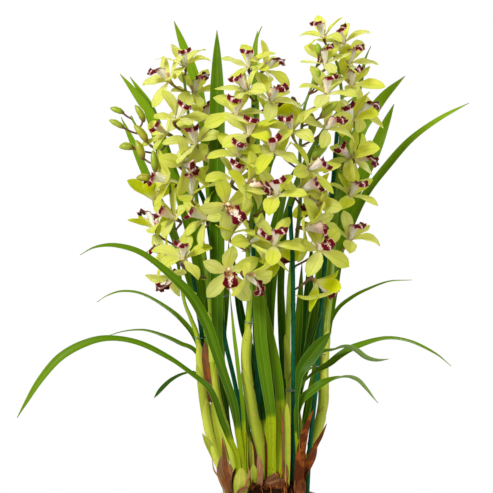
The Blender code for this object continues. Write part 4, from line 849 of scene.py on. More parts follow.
# The six shoots. "bulb" is (picture x, picture y, depth, radius). Each leaf is (its route from the base
# up, width, or widths spread evenly along it, turns toward the viewer in degrees from base to tip, or
# the one it keeps, how blunt its tip is, how light it is, from 0 to 1, partly its own tone and partly
# painted shade for leaves deep in the clump, and the picture y where its blade leaves its sheath).
# Each of the papery scales round the bulb is (turn of its middle: 0 away from the viewer, 180 toward,
# half the turn it covers, foot and tip heights from the bulb's middle, how far the tip stands off, how
# dry: 0 dark, 1 tan, how round the tip is). The dry and green sheaths that stand up from the feet are
# (route, width, turns, how blunt, how light).
shoots = {
    "leafy_shoot_1": {"bulb": (241.5, 485, -36, 12), "leaves": [
        ([(243, 480, -36), (241.5, 455, -40), (238, 432, -43), (234, 404, -46), (225, 377, -49),
         (214, 345, -53), (206, 322, -56), (190, 294, -60), (165, 270, -62), (140, 252, -62),
         (115, 245, -60), (95, 247, -58), (80, 255, -56)], (6.5, 7.5, 9, 12.5, 14, 13.5, 12, 12, 12),
         (80, 100, 112, 134, 128), 3, 0.4, 430),
        ([(240, 480, -38), (236.5, 455, -42), (229.5, 439, -46), (222, 420, -50), (215.5, 400, -54),
         (208, 386.5, -58), (192, 373.5, -62), (170, 358, -64), (140, 343, -68), (110, 338, -72),
         (85, 343, -74), (60, 357, -76), (40, 380, -76), (25, 404, -76), (17, 418, -76)],
         (6, 9, 10.5, 11, 11, 11, 12, 13.5, 14), (110, 130, 157, 146, 112, 98), 3.6, 0.5, 439),
        ([(243, 480, -32), (241.5, 455, -28), (237, 428, -24), (231, 400, -20), (222, 367, -17),
         (217.5, 335, -15), (217, 290, -14), (217, 230, -14), (217, 170, -14), (217, 100, -14),
         (217, 60, -14), (217, 30, -14)], (6, 7, 10, 15, 19, 21, 21, 21, 20), (80, 88), 6, 0.32, 446),
        ([(245, 480, -38), (244, 450, -40), (243.5, 424, -40), (242, 400, -40), (239.5, 380, -39),
         (236.5, 355, -38), (233.5, 330, -36), (230, 292, -32)], (5, 5, 5.5, 5, 4), (70, 75), 3, 0.7, 424),
        ([(248.5, 480, -30), (248.5, 448, -26), (246.8, 412, -16), (246.5, 385, -10), (247, 350, -6)],
         (5, 7, 8, 7), (74, 70), 3, 0.2, 440),
    ], "scales": [
        (285, 48, -23, 34, 5, 0.35, 2.2), (310, 60, -23, 20, 3, 0.75, 3), (96, 42, -23, 8, 2, 0.55, 4),
        (0, 90, -22, 26, 2.5, 0.5, 3),
    ], "dry": [
        ([(230, 492, -44), (226, 470, -48), (224, 452, -50), (222, 437, -50)], 6, 80, 2.2, 0.2),
        ([(259, 492, -44), (260, 476, -46), (259.5, 464, -46), (258, 454, -44)], 8, (80, 84), 3, 0.8),
        ([(226, 494, -40), (219, 478, -42), (214, 470, -42), (212, 459, -42)], 2.2, 70, 2.2, 1),
        ([(243, 492, -50), (247, 482, -52), (249, 474, -52), (248, 466, -50)], 3, 70, 2.2, 1),
        ([(236, 496, -50), (240, 491, -53), (245, 488.5, -53), (249, 486, -51)], 5, (84, 80), 3, 0.35),
    ], "green": [
        ([(246, 486, -34), (245, 462, -38), (244.5, 444, -38), (243.5, 424, -37)], 8, 80, 7, 0),
        ([(252, 488, -30), (252, 464, -32), (250.5, 440, -30)], 6, 80, 6, 0.35),
        ([(255, 491, -36), (254, 476, -40), (253.5, 464, -42)], 9, 80, 4, 0.2),
    ]},
    "leafy_shoot_2": {"bulb": (243, 486, 36, 12.5), "leaves": [
        ([(239, 480, 36), (231, 457, 44), (223, 430, 50), (211, 390, 56), (197, 342, 62), (181, 319, 66),
         (160, 303, 70), (140, 293, 72), (122, 291, 72), (108, 295, 72), (97, 302, 72)],
         (4, 6, 9, 11, 11, 11), (135, 145, 150, 158), 2.2, 0.55, 452),
        ([(239, 480, 36), (230, 457, 42), (221, 428, 46), (210, 390, 48), (197, 353, 52), (180, 343, 56),
         (165, 336, 58), (145, 330, 60), (125, 331, 60), (107, 336, 60)], (4, 6, 9, 10, 10),
         (135, 145, 150, 158), 2.2, 0.4, 450),
        ([(239, 480, 34), (229, 457, 40), (218, 425, 44), (208, 400, 46), (197, 374, 48), (185, 373, 50),
         (172, 379, 51), (162, 388, 52), (154, 398, 52)], (4, 5, 5, 5, 5, 4.5, 4.5, 8, 12),
         (150, 160, 166, 158, 120), 9, 0.05, 448),
        ([(240, 480, 38), (232, 457, 50), (225, 430, 58), (219, 390, 68), (212, 340, 82), (200, 260, 100),
         (185, 200, 106), (167, 170, 108), (160, 145, 108), (150, 115, 108), (133, 90, 108),
         (120, 74, 108)], (4, 7, 14, 17, 17, 17), (70, 76), 7, 0.85, 455),
        ([(240, 480, 40), (232, 457, 52), (224, 428, 62), (217, 385, 76), (208, 330, 94), (196, 255, 112),
         (182, 200, 120), (168, 160, 122), (152, 112, 122), (139, 90, 122), (130, 77, 122)],
         (4, 7, 13, 16, 16, 16), (70, 76), 7, 0.9, 455),
        ([(240, 480, 38), (231, 455, 48), (222, 425, 58), (213, 380, 72), (196, 300, 92), (172, 230, 96),
         (153, 190, 96), (140, 160, 96), (133, 143, 96), (121, 117, 96)], (4, 6, 11, 13, 13), (66, 72), 7,
         0.75, 455),
        ([(241, 480, 36), (234, 458, 38), (227, 430, 42), (223, 400, 48), (220, 300, 70), (213, 220, 86),
         (207, 150, 88), (199, 95, 86), (192, 70, 84), (183, 45, 82), (174, 21, 80)],
         (4, 6, 13, 15, 16, 16), (50, 66, 74), 10, 0.75, 450),
        ([(240, 480, 34), (234.5, 455, 31), (227.5, 431, 29), (224.5, 414, 28.5), (223, 400, 28),
         (218, 365, 28), (214, 330, 30), (213, 292, 34)], (6, 9, 15, 17, 17, 17), (70, 78), 3, 0.2, 446),
        ([(240, 480, 44), (232, 455, 52), (225, 428, 60), (217, 380, 66), (211, 320, 72), (208, 262, 74)],
         (4, 8, 14, 15, 15), (76, 80), 2.8, 0.15, 452),
        ([(239, 480, 40), (232, 455, 46), (226, 428, 54), (221, 395, 60), (222, 350, 68), (226, 300, 70),
         (229, 240, 72)], (4, 5, 8, 10, 10), (72, 78), 2.8, 0.4, 450),
    ], "scales": [
        (180, 75, -22, 20, 1.2, 0.7, 2.2), (250, 60, -23, 30, 6, 0.45, 2.2), (290, 50, -23, 16, 4, 0.8, 3),
        (0, 80, -22, 18, 1.5, 0.5, 2.2),
    ], "dry": [
        ([(212, 402, 2), (210, 388, 4), (207.5, 372, 6), (205.5, 356, 9), (204.5, 341, 12)], 11, (80, 84),
         3.2, 0.3),
        ([(235, 497, -6), (229, 483, -8), (224.5, 470, -10), (221, 456, -10)], 23, 80, 2.4, 0.75),
    ], "green": [
        ([(231, 486, 14), (222, 470, 10), (213, 452, 6), (207, 442, 4), (202, 433, 2)], 11, 80, 2.6, 0.1),
        ([(231, 480, 2), (223, 452, 2), (218, 430, 2), (213.5, 405, 4), (211, 382, 6)], (6, 9, 10, 9, 7),
         80, 3, 0.3),
    ]},
    "leafy_shoot_3": {"bulb": (274, 487, -34, 10.5), "leaves": [
        ([(271.5, 480, -44), (271.8, 455, -46), (271, 417, -48), (266, 380, -46), (261, 340, -42),
         (258, 290, -34), (256, 262, -28)], (10.5, 10.5, 13, 16, 16, 16, 14), (82, 84), 5, 0.42, 417),
        ([(277, 480, -44), (280.2, 455, -43), (280.2, 402, -38), (276.5, 365, -34), (271, 335, -28),
         (264, 296, -20)], (9, 11, 11, 11, 10, 10), (72, 76), 3, 0.5, 402),
        ([(272, 480, -38), (266, 440, -30), (262, 405, -12), (258, 350, 16), (255, 300, 30),
         (253, 255, 34)], (5, 8, 11, 12, 12), (66, 74), 2.8, 0.05, 425),
    ], "scales": [
        (158, 115, -24, 8, 8, 0.1, 8), (156, 110, -24, 12, 7, 0.25, 8), (160, 105, -24, 17, 5.5, 0.15, 8),
        (155, 100, -24, 22, 4.5, 0.3, 7), (235, 50, -23, 30, 2, 0.6, 2.4), (0, 90, -22, 16, 2, 0.5, 3),
    ], "dry": [
        ([(266, 486, -40), (266.5, 464, -42), (266, 448, -40), (264, 430, -34)], 4, (70, 76), 2.2, 0),
        ([(284, 490, -38), (284.5, 480, -42), (285, 472, -43), (285, 460, -42)], 8, (80, 84), 2.2, 0.5),
        ([(282.5, 472, -47), (282.8, 450, -47), (282.5, 425, -46), (281.4, 405, -43)], 3, 80, 3, 0.4),
    ], "green": [
        ([(287, 486, -42), (287.5, 460, -44), (287.5, 430, -44), (287, 403, -42)], 7.5, 80, 7, 0.15),
    ]},
    "leafy_shoot_4": {"bulb": (276, 486, 40, 12.5), "leaves": [
        ([(275, 480, 40), (272, 400, 46), (262, 300, 50), (257, 200, 48), (255, 100, 46), (256, 45, 44),
         (262, 26, 44)], 13, (60, 66, 72), 4.5, 0.75, 440),
        ([(275, 480, 40), (271, 430, 44), (269, 390, 48), (268, 345, 54), (269, 300, 58), (272, 260, 64),
         (275, 230, 66), (285, 190, 68), (297, 165, 68)], 18, (30, 50, 76, 76), 3.2, 0.3, 436),
        ([(276, 480, 42), (272, 400, 56), (262, 300, 74), (260, 230, 80), (266, 175, 82), (275, 150, 82),
         (293, 118, 82), (306, 100, 82)], 14, (50, 66, 74), 3, 0.5, 442),
        ([(278, 480, 38), (292, 440, 32), (296, 360, 28), (300, 300, 28), (302, 262, 28)],
         (5, 7, 10, 12, 12), (70, 74), 3, 0.3, 430),
        ([(278, 480, 42), (284, 430, 54), (287, 385, 64), (285, 345, 72), (281, 300, 78), (283, 235, 86),
         (290, 205, 88), (302, 172, 90), (318, 140, 92), (338, 112, 92), (360, 92, 92)], 13, (30, 60), 3,
         0.5, 440),
        ([(285, 480, 46), (288, 430, 62), (286, 385, 84), (283, 345, 90), (281, 300, 96), (279, 240, 100)],
         12, (74, 80), 2.8, 0, 444),
        ([(272, 480, 46), (268, 430, 64), (266, 385, 86), (267, 345, 92), (270, 300, 98), (276, 245, 104)],
         12, (74, 80), 2.8, 0.05, 444),
        ([(264, 480, 58), (262, 430, 60), (258, 390, 64), (250, 350, 68), (243, 325, 70), (237, 290, 72),
         (233, 250, 74)], 12, (76, 80), 2.8, 0, 446),
        ([(256, 130, 47), (254.5, 80, 46), (254, 55, 45), (257.5, 31, 44)], (7, 9, 9), (64, 70), 3, 0.75,
         430),
    ], "scales": [
        (180, 90, -22, 18, 2.2, 0.3, 4), (110, 60, -23, 26, 3, 0.6, 2.4),
        (250, 60, -23, 22, 2.6, 0.45, 2.4), (0, 80, -22, 18, 1.5, 0.5, 3),
    ], "dry": [
        ([(262, 488, 16), (258, 470, 10), (254.5, 447, 8), (252, 424, 8)], 13, 80, 2.4, 0.2),
        ([(293, 492, -12), (294, 474, -12), (296, 462, -12), (298, 452, -12)], 16, 80, 3, 0.45),
    ], "green": [
        ([(297, 488, 10), (297.5, 460, 8), (298.5, 435, 4), (298.5, 418, 2), (296.8, 397, 0)],
         (9, 10, 10, 9, 6), 80, 3, 0.15),
        ([(254, 492, 26), (252, 470, 24), (251, 452, 22), (251, 436, 22)], 14, 80, 2.4, 0.3),
    ]},
    "leafy_shoot_5": {"bulb": (299, 487, -34, 7), "leaves": [
        ([(300, 480, -34), (298, 440, -34), (297, 405, -30), (300, 387, -28), (308, 377.5, -27),
         (318, 370, -26), (329, 363.5, -27), (341, 354, -28), (356, 346, -30), (385, 338, -32),
         (410, 341, -32), (435, 353, -32), (451, 366, -32)], (4, 4, 4, 3.5, 4, 12, 15, 11, 9, 8, 8),
         (60, 66, 50, 26, 26, 40), 3.2, 0.5, 446),
        ([(300, 480, -36), (298, 440, -38), (298, 400, -38), (301, 376, -38), (309, 361, -38),
         (320, 352, -38), (332, 349, -39), (344, 346, -42), (355, 349, -42), (366, 357, -42),
         (377, 360, -42), (389, 359, -42)], (4, 4, 4, 4, 6, 9, 12, 13, 13, 13, 13),
         (60, 62, 50, 34, -30, -60), 4, 0.25, 446),
        ([(300, 480, -38), (297, 440, -44), (297, 413, -46), (302, 399, -46), (311, 391, -48),
         (320, 384, -50), (331, 379, -50), (344, 376, -54), (357, 379, -56), (366, 388, -56),
         (373, 397, -56), (378, 403, -56)], (5, 5, 5, 6, 9, 11, 12, 13, 13, 13, 13),
         (50, 60, 64, 48, -30, -50), 2.6, 0.35, 432),
        ([(300, 480, -38), (298.5, 445, -46), (297, 410, -50), (297.5, 388, -52), (300.5, 371, -54),
         (308, 360, -54), (318, 347, -54), (331.5, 331.5, -54)], (4, 4, 4, 4, 5, 8, 17, 21, 20),
         (10, 20, 50, 80, 84), 5, 0.15, 440),
        ([(300, 480, -30), (299, 440, -16), (298, 410, -4), (300, 385, 6), (304, 362, 14), (312, 335, 18),
         (322, 312, 18)], (4, 5, 8, 12, 12), (64, 70), 2.8, 0.05, 440),
        ([(300, 480, -30), (298.5, 440, -30), (297.5, 405, -26), (298.5, 382, -24), (304, 372, -24),
         (310, 368.5, -24), (317, 366, -24)], (3, 3, 3, 3, 3, 3, 4, 10, 10), (64, 60, 50), 3, 0.4, 430),
    ], "scales": [
        (150, 70, -23, 14, 1.5, 0.15, 5), (185, 60, -23, 28, 1, 0.35, 2.4),
        (125, 50, -23, 32, 1.2, 0.2, 2.2), (0, 90, -22, 18, 1.5, 0.4, 3),
    ], "dry": [
        ([(300, 488, -42), (299.5, 466, -48), (302, 446, -48), (306.5, 427, -47), (313.5, 409, -46)],
         (11, 12, 11, 9, 5), (78, 80), 3, 0),
        ([(303, 482, -40), (308, 466, -42), (315, 447, -42), (321, 436, -41), (327, 423, -40)], 6, 70, 2.4,
         0),
        ([(303, 476, -42), (307.5, 466, -44), (312, 456, -44), (317, 442, -42)], 11, 80, 2, 0.05),
        ([(298, 487, -38), (299, 474, -42), (301, 462, -43), (305, 447, -43)], 12, (78, 80), 2, 0.2),
    ]},
    "leafy_shoot_6": {"bulb": (298, 485, 34, 12.5), "leaves": [
        ([(299, 480, 34), (303, 440, 44), (308, 405, 52), (313.5, 380, 60), (320, 350, 68), (330, 280, 80),
         (340, 250, 86), (350, 225, 92), (365, 195, 96), (385, 168, 98), (410, 140, 98), (440, 118, 98),
         (469, 103, 98)], (4, 6, 10, 13, 14, 14, 14, 14), (50, 48, 46), 5, 1, 446),
        ([(299, 480, 36), (298, 440, 52), (298.5, 410, 64), (301, 385, 76), (309, 355, 90), (322, 300, 104),
         (334, 220, 116), (345, 170, 118), (360, 130, 118), (370, 115, 118), (385, 95, 118),
         (405, 76, 118)], (4, 6, 15, 19, 20, 20, 20), (76, 80), 7, 1, 444),
        ([(299, 480, 38), (302, 440, 54), (306, 420, 64), (311, 400, 76), (316, 380, 90), (323, 345, 104),
         (331, 295, 118), (340, 230, 132), (350, 200, 134), (365, 170, 134), (375, 150, 134),
         (385, 125, 134), (394, 104, 134)], (4, 6, 14, 18, 20, 20, 20), (76, 80), 7, 1, 448),
        ([(300, 480, 33), (303, 440, 38), (309, 410, 42), (316, 382, 46), (325, 338, 50), (336, 311, 56),
         (352, 297, 58), (370, 288, 60), (390, 281, 60), (412, 280, 60)], (4, 6, 8, 7, 7, 7), (46, 44, 42),
         2.6, 0.8, 442),
        ([(297, 480, 36), (297, 430, 56), (299, 395, 66), (304, 365, 76), (316, 300, 88), (332, 200, 102),
         (350, 120, 102), (360, 85, 100), (365, 60, 98), (371, 46, 98)], (4, 6, 13, 14, 14, 14),
         (50, 70, 74), 3.6, 0.6, 446),
        ([(297, 480, 32), (297.5, 440, 30), (299, 400, 32), (303, 372, 34), (311, 335, 38), (319, 285, 42)],
         (4, 4, 6, 13, 14), (70, 74), 3, 0.2, 440),
        ([(298, 480, 42), (297, 430, 66), (299, 390, 80), (304, 350, 94), (308, 300, 104), (312, 240, 112)],
         (4, 5, 9, 16, 16), (70, 80), 2.8, 0.05, 448),
        ([(300, 480, 40), (303, 440, 52), (307, 418, 60), (312, 395, 70), (316, 370, 78), (321, 310, 88),
         (324, 260, 92)], (4, 6, 11, 15, 15), (70, 80), 2.8, 0.15, 444),
        ([(299, 480, 44), (301, 445, 60), (304, 418, 72), (308, 398, 80), (311.5, 384, 86), (316, 364, 94),
         (321, 335, 102), (328, 290, 112), (344, 240, 120), (356, 205, 122)], (4, 5, 8, 12, 15, 15),
         (70, 74), 2.8, 0.45, 430),
    ], "scales": [
        (180, 80, -22, 20, 2.2, 0.5, 3), (90, 60, -23, 24, 4, 0.7, 2.4), (0, 80, -22, 18, 1.5, 0.5, 3),
    ], "green": [
        ([(303, 484, 20), (308, 462, 18), (314, 444, 16), (318, 425, 14)], 10, 60, 2.2, 0.5),
    ]},
}
leafShape = {"seed": 31, "rows": 72, "columns": 9, "thickness": 1.0, "footShare": 0.72, "fold": 0.24,
             "ripple": 0.35, "rippleEvery": 17.0, "sheathThickness": 0.6}
leafAlong, leafAcross = alongOf(leafShape)[:, None], acrossOf(leafShape)
bulbShape = {"height": 46.0, "narrowing": 0.22, "rows": 20, "sides": 28, "ribs": 9, "ribDepth": 0.035}
scaleShape = {"rows": 11, "columns": 15, "thickness": 0.45, "gap": 0.9, "loose": 0.6, "hueJitter": 0.15,
              "ragged": ((2.2, 7.0), (1.3, 17.0))}  # height and number of the waves in its upper edge


# A strap leaf: its edges lie to each side of the route, turned toward the viewer by the angles given
# along it, its middle stands off them toward its back in a fold that opens toward the tip, its width
# swells from the foot to the middle (or follows the widths given), and it closes toward the tip, the
# more suddenly the blunter it is
def leafGrid(route, width, turns, blunt):
    look, share = leafShape, leafAlong[:, 0]
    path = pathOf(route, look["rows"])
    way = unit(np.gradient(path, axis=0))
    turn = np.radians(spread(turns, share))[:, None]
    away = squareTo(awayWay, way)
    side = away * np.cos(turn) + np.cross(way, away) * np.sin(turn)
    late = np.clip(2 * share - 1, 0, 1)
    swell = look["footShare"] + (1 - look["footShare"]) * np.sin(np.minimum(share, 0.5) * math.pi)
    widths = spread(width, share) if np.ndim(width) else width * swell
    width = (widths * np.maximum(1 - late**blunt, 0.02))[:, None]
    fold = look["fold"] * width * (1.35 - leafAlong) * (1 - np.abs(leafAcross)**1.35)
    return (path[:, None] + side[:, None] * (width / 2 * leafAcross)[..., None]
            + np.cross(side, way)[:, None] * fold[..., None])


def leafSheets(rows, joints, draw):  # leaves with a slight ripple along them, and a paler foot
    look, grid = leafShape, np.array([leafGrid(*row[:4]) for row in rows])
    middle = grid[:, :, look["columns"] // 2]
    wave = draw.uniform(0, fullTurn, (len(rows), 1, 1))
    ripple = np.sin(runOf(middle)[..., None] / look["rippleEvery"] + wave + 1.5 * leafAcross)
    grid = grid + normalsOf(grid) * (look["ripple"] * ripple * leafAcross**2)[..., None]
    thick = look["thickness"] * (1 - 0.5 * np.abs(leafAcross))
    blend = draw.uniform(1.5, 7, (len(rows), 1))
    foot = 1 - np.clip((grid[:, :, look["columns"] // 2, 2] - joints[:, None]) / blend, 0, 1)
    hue = np.array([row[4] for row in rows])[:, None, None]
    return sheets(grid, thick, leafAlong, leafAcross, hue, foot=foot[..., None])


def bulbShapes(x, y, depth, radius, rows, draw):  # an egg with shallow ribs, and papery scales round it
    look, middle = bulbShape, seen(x, y, depth)
    polar = np.linspace(0.06, math.pi - 0.06, look["rows"])
    level = -np.cos(polar)
    path = middle + level[:, None] * look["height"] / 2 * vertical
    ribs = 1 + look["ribDepth"] * np.cos(look["ribs"] * turnsOf(look) + draw.uniform(0, 6))
    own = radius * np.sin(polar) * (1 - look["narrowing"] * np.clip(level, 0, 1))
    bulb = bars(path[None], (own[:, None] * ribs)[None], look["sides"], {"along": alongOf(look)}, 0.3)
    scale, share, across = scaleShape, alongOf(scaleShape), acrossOf(scaleShape)
    paths, gaps, turns, spreads, dry = [], [], [], [], []
    for turn, half, low, high, off, hue, rounded in rows:
        heights = low + (high - low) * share
        paths.append(middle + heights[:, None] * vertical)
        level = np.clip(heights / (look["height"] / 2), -0.9, 0.97)
        gaps.append(radius * np.sqrt(1 - level**2) * (1 - look["narrowing"] * np.clip(level, 0, 1))
                    + scale["gap"] + off * share**2 + draw.uniform(0, scale["loose"]))
        turns.append(math.radians(turn))
        spreads.append(math.radians(half) * np.clip(1 - share**rounded, 0.03, 1))
        dry.append(np.clip(hue + draw.uniform(-scale["hueJitter"], scale["hueJitter"]), 0, 1))
    grid = wrapGrid(paths, gaps, turns, spreads, across)
    ragged = sum(rise * np.sin(waves * across + draw.uniform(0, 6, (len(rows), 1)))
                 for rise, waves in scale["ragged"])
    grid[..., 2] += ragged[:, None] * share[:, None]**3
    return bulb, sheets(grid, scale["thickness"], share, across, np.array(dry)[:, None, None])


def makeShoots():  # each shoot's leaves, bulb, papery scales and sheaths
    for number, (node, shoot) in enumerate(shoots.items(), 1):
        draw = np.random.default_rng(leafShape["seed"] + number)
        x, _, depth, _ = shoot["bulb"]
        joints = np.array([seen(x, row[-1], depth)[2] for row in shoot["leaves"]])
        makePiece(f"leaves_{number}", leafSheets(shoot["leaves"], joints, draw), "leaf", node)
        bulb, scales = bulbShapes(*shoot["bulb"], shoot["scales"], draw)
        makePiece(f"bulb_{number}", bulb, "bulb", node)
        dry, green = ([sheets(leafGrid(*row)[None], leafShape["sheathThickness"], leafAlong, leafAcross, hue)
                       for *row, hue in shoot.get(kind, [])] for kind in ("dry", "green"))
        makePiece(f"dry_scales_{number}", joined(scales, *dry), "dry", node)
        if green:
            makePiece(f"shoot_sheaths_{number}", joined(*green), "sheath", node)
        print("made", node)


# Pot and growing mix

potShape = {
    # radius, height
    "profile": ((0, 6), (44.5, 6), (60, 103), (64.5, 125.8), (65.4, 127.5), (67.8, 127.5), (69.4, 125.8),
                (67.4, 105), (64.5, 103), (50.6, 3.2), (49, 0), (44, 0), (43, 1.6), (0, 1.6)),
    "rounding": 1.1, "sides": 128,
}
mixShape = {
    # heights of its edge and underside, room to the wall
    "seed": 5, "edge": 120.0, "under": 104.0, "gap": 0.4,
    "mound": 28.0, "moundRadius": 58.0, "narrower": 1.16, "relief": 2.0, "rings": 44, "sides": 128,
    "grain": 1.1, "chunks": 620, "chunkReach": 59, "chunkLength": (3, 9), "chunkWide": (1.2, 3.0),
    "chunkShape": (0.55, 0.95, 1.0, 0.92, 0.5), "chunkSides": 6, "bulbRoom": 2.0,
    # how many, their length, radius and rise
    "roots": (10, (30, 80), (0.9, 1.6), (1, 4)), "fibres": (46, (18, 50), (0.3, 0.6), (1, 7)),
    "strandRows": 14, "strandSides": 6, "strandStart": 50, "strandReach": 58.0, "strandBend": 0.28,
}


# A profile rounded at its corners (each corner gives way to a short curve between points the rounding
# before and after it), then turned about the axis
def turnedShape(look):
    points = np.array(look["profile"][::-1], float)
    steps = points[:-2] - points[1:-1], points[2:] - points[1:-1]
    room = np.minimum(*(np.linalg.norm(step, axis=1) for step in steps))
    before, after = (unit(step)[:, None] for step in steps)
    cut = np.minimum(look["rounding"], room * 0.45)[:, None, None]
    t = np.linspace(0, 1, 5)[:, None]
    curve = points[1:-1, None] + before * cut * (1 - t)**2 + after * cut * t**2
    ring = curve.reshape(-1, 2, 1)
    shell = ringAt(ring[:, 0], turnsOf(look), ring[:, 1])
    return ringShells(shell[None], points[:1, 1:] * vertical, points[-1:, 1:] * vertical, {})


def innerRadius(height):  # the pot's inside, less a hair
    radii, heights = zip(*potShape["profile"][1:4])
    return np.interp(height, heights, radii) - mixShape["gap"]


def mixHeight(x, y):  # a flat-topped mound, narrower sideways, that falls to the edge, with soft bumps
    share = np.minimum(np.hypot(mixShape["narrower"] * x, y) / mixShape["moundRadius"], 1)
    bumps = np.sin(0.29 * x + 1.3 * np.sin(0.21 * y)) * np.cos(0.33 * y + 0.8 * np.sin(0.17 * x))
    return (mixShape["edge"] + mixShape["mound"] * (1 - share**18)
            + mixShape["relief"] * bumps * (1 - share**12))


def mixBody(draw):  # the mound: rings from the middle out, then down the wall to a flat underside
    look, turn = mixShape, turnsOf(mixShape)
    radius = innerRadius(look["edge"]) * np.linspace(0.02, 1, look["rings"])[:, None]
    x, y = radius * np.cos(turn), radius * np.sin(turn)
    crumbs = (np.sin(1.9 * x + 2.1 * np.sin(0.9 * y)) * np.sin(2.3 * y + 1.7 * np.sin(1.1 * x)) * 0.5
              + draw.uniform(-0.5, 0.5, x.shape))
    z = mixHeight(x, y) + look["grain"] * crumbs * np.linspace(1, 0.2, look["rings"])[:, None]
    wall = ringAt(innerRadius(look["under"]), turn, look["under"])
    shell = np.concatenate([np.stack([x, y, z], axis=-1), wall[None]])
    top, under = (height * vertical[None] for height in (mixHeight(0.0, 0.0), look["under"]))
    return ringShells(shell[None], top, under, {"hue": 0.0})


def barkChunks(draw):  # bark: short six-sided bars, blunt and uneven, lying every way on the mound
    look, shape = mixShape, mixShape["chunkShape"]
    count, sides = look["chunks"], look["chunkSides"]
    radius, turn = np.sqrt(draw.uniform(0, 1, count)) * look["chunkReach"], draw.uniform(0, fullTurn, count)
    x, y = radius * np.cos(turn), radius * np.sin(turn)
    z = mixHeight(x, y) + draw.uniform(0.2, 2.6, count)
    length, wide = draw.uniform(*look["chunkLength"], count), draw.uniform(*look["chunkWide"], count)
    lean, way = draw.normal(0, 0.35, count), draw.uniform(0, fullTurn, count)
    axis = np.stack([np.cos(way) * np.cos(lean), np.sin(way) * np.cos(lean), np.sin(lean)], axis=-1)
    paths = (np.stack([x, y, z], axis=-1)[:, None]
             + axis[:, None] * (length[:, None] * [-0.5, -0.42, 0.0, 0.42, 0.5])[..., None])
    paths = paths + draw.normal(0, 0.35, paths.shape)
    radii = wide[:, None, None] * np.array(shape)[:, None] * draw.uniform(0.6, 1.1, (count, 1, sides))
    radii = radii * draw.uniform(0.88, 1.1, (count, len(shape), sides))
    kept = np.hypot(paths[..., 0], paths[..., 1]).max(axis=1) + wide * 1.1 < innerRadius(look["edge"])
    for bulbX, bulbY, depth, bulbRadius in (shoot["bulb"] for shoot in shoots.values()):
        place = seen(bulbX, bulbY, depth)
        kept &= np.hypot(x - place[0], y - place[1]) > bulbRadius + look["bulbRoom"]
    hue = draw.uniform(0, 1, (count, 1))
    return bars(paths[kept], radii[kept], sides, {"hue": hue[kept]}, 0.05)


def mixStrands(draw, count, length, radius, rise):  # roots and fibres: thin bars wandering over the mound
    rows, share = mixShape["strandRows"], np.linspace(0, 1, mixShape["strandRows"])
    start = np.sqrt(draw.uniform(0.05, 1, count)) * mixShape["strandStart"]
    turn = draw.uniform(0, fullTurn, count)
    way = draw.uniform(0, fullTurn, (count, 1))
    way = way + np.cumsum(draw.normal(0, mixShape["strandBend"], (count, rows)), axis=1)
    step = draw.uniform(*length, (count, 1)) / (rows - 1)
    x, y = ((start * trig(turn))[:, None] + np.cumsum(trig(way) * step, axis=1)
            for trig in (np.cos, np.sin))
    far = np.maximum(np.hypot(x, y) / mixShape["strandReach"], 1)
    x, y = x / far, y / far
    z = mixHeight(x, y) + radius[1] * 0.6 + draw.uniform(*rise, (count, 1)) * np.sin(share * math.pi) + 1.2
    radii, hue = draw.uniform(*radius, (count, 1)) * (1 - 0.5 * share), draw.uniform(0, 1, (count, 1))
    return bars(np.stack([x, y, z], axis=-1), radii, mixShape["strandSides"], {"hue": hue})


def makePot():  # the pot, and the mix with its bark, roots and fibres
    draw, slot, node = np.random.default_rng(mixShape["seed"]), "bark_mix", "growing_mix"
    makePiece("glazed_pot", turnedShape(potShape), "glaze", "pot")
    makePiece("mix_mound", mixBody(draw), "mound", node)
    makePiece("bark_chunks", barkChunks(draw), "bark", node)
    roots, fibres = (mixStrands(draw, *mixShape[kind]) for kind in ("roots", "fibres"))
    makePiece("mix_roots", joined(roots, fibres), "root", node)
    print("made the pot and its mix")


# Support canes and wire ties

# Each support cane's route, from its foot up
canes = {
    "support_cane_1": [(234, 505, 22), (226, 470, 22), (207, 400, 29), (202, 338, 40), (193, 275, 54)],
    "support_cane_2": [(248, 505, 12), (245, 470, 12), (238, 400, 12), (225, 340, 14), (220, 305, 14),
        (212, 250, 20), (205, 205, 28), (197, 185, 33), (187, 150, 32), (184, 128, 32)],
    "support_cane_3": [(264, 505, 6), (261, 450, 0), (259, 395, -8), (256, 355, -14), (254, 300, -18),
        (253, 230, -16), (252, 160, -14), (254, 105, -12)],
    "support_cane_4": [(290, 505, -22), (290, 487, -22), (293, 450, -20), (293, 280, -17), (291, 230, -18),
        (290, 206, -18)],
    "support_cane_5": [(307, 505, -14), (307.5, 487, -12), (309.5, 450, -6), (311.5, 430, -2),
        (314.5, 402, 3), (317, 378, 7), (318.5, 355, 12), (322, 300, 30), (326, 250, 48), (331, 210, 57),
        (334, 170, 58), (337, 132, 58)],
}
# Each wire tie: (spike, cane, picture y of the loop)
ties = {
    "wire_tie_1": ("flower_spike_1", "support_cane_1", 339),
    "wire_tie_2": ("flower_spike_2", "support_cane_2", 298),
    "wire_tie_3": ("flower_spike_3", "support_cane_3", 321),
    "wire_tie_4": ("flower_spike_4", "support_cane_4", 389),
    "wire_tie_5": ("flower_spike_5", "support_cane_5", 356),
    "wire_tie_6": ("flower_spike_5", "support_cane_5", 367),
}
caneShape = {"radius": 3.1, "taper": 0.05, "rows": 140, "sides": 12,
             "jointEvery": 78.0, "jointSwell": 0.16, "jointWide": 0.0006}
tieShape = {"gap": 1.0, "wire": 0.62, "rows": 41, "sides": 8, "tail": 7.0, "tailRise": 3.0, "tailTurns": 2.5}


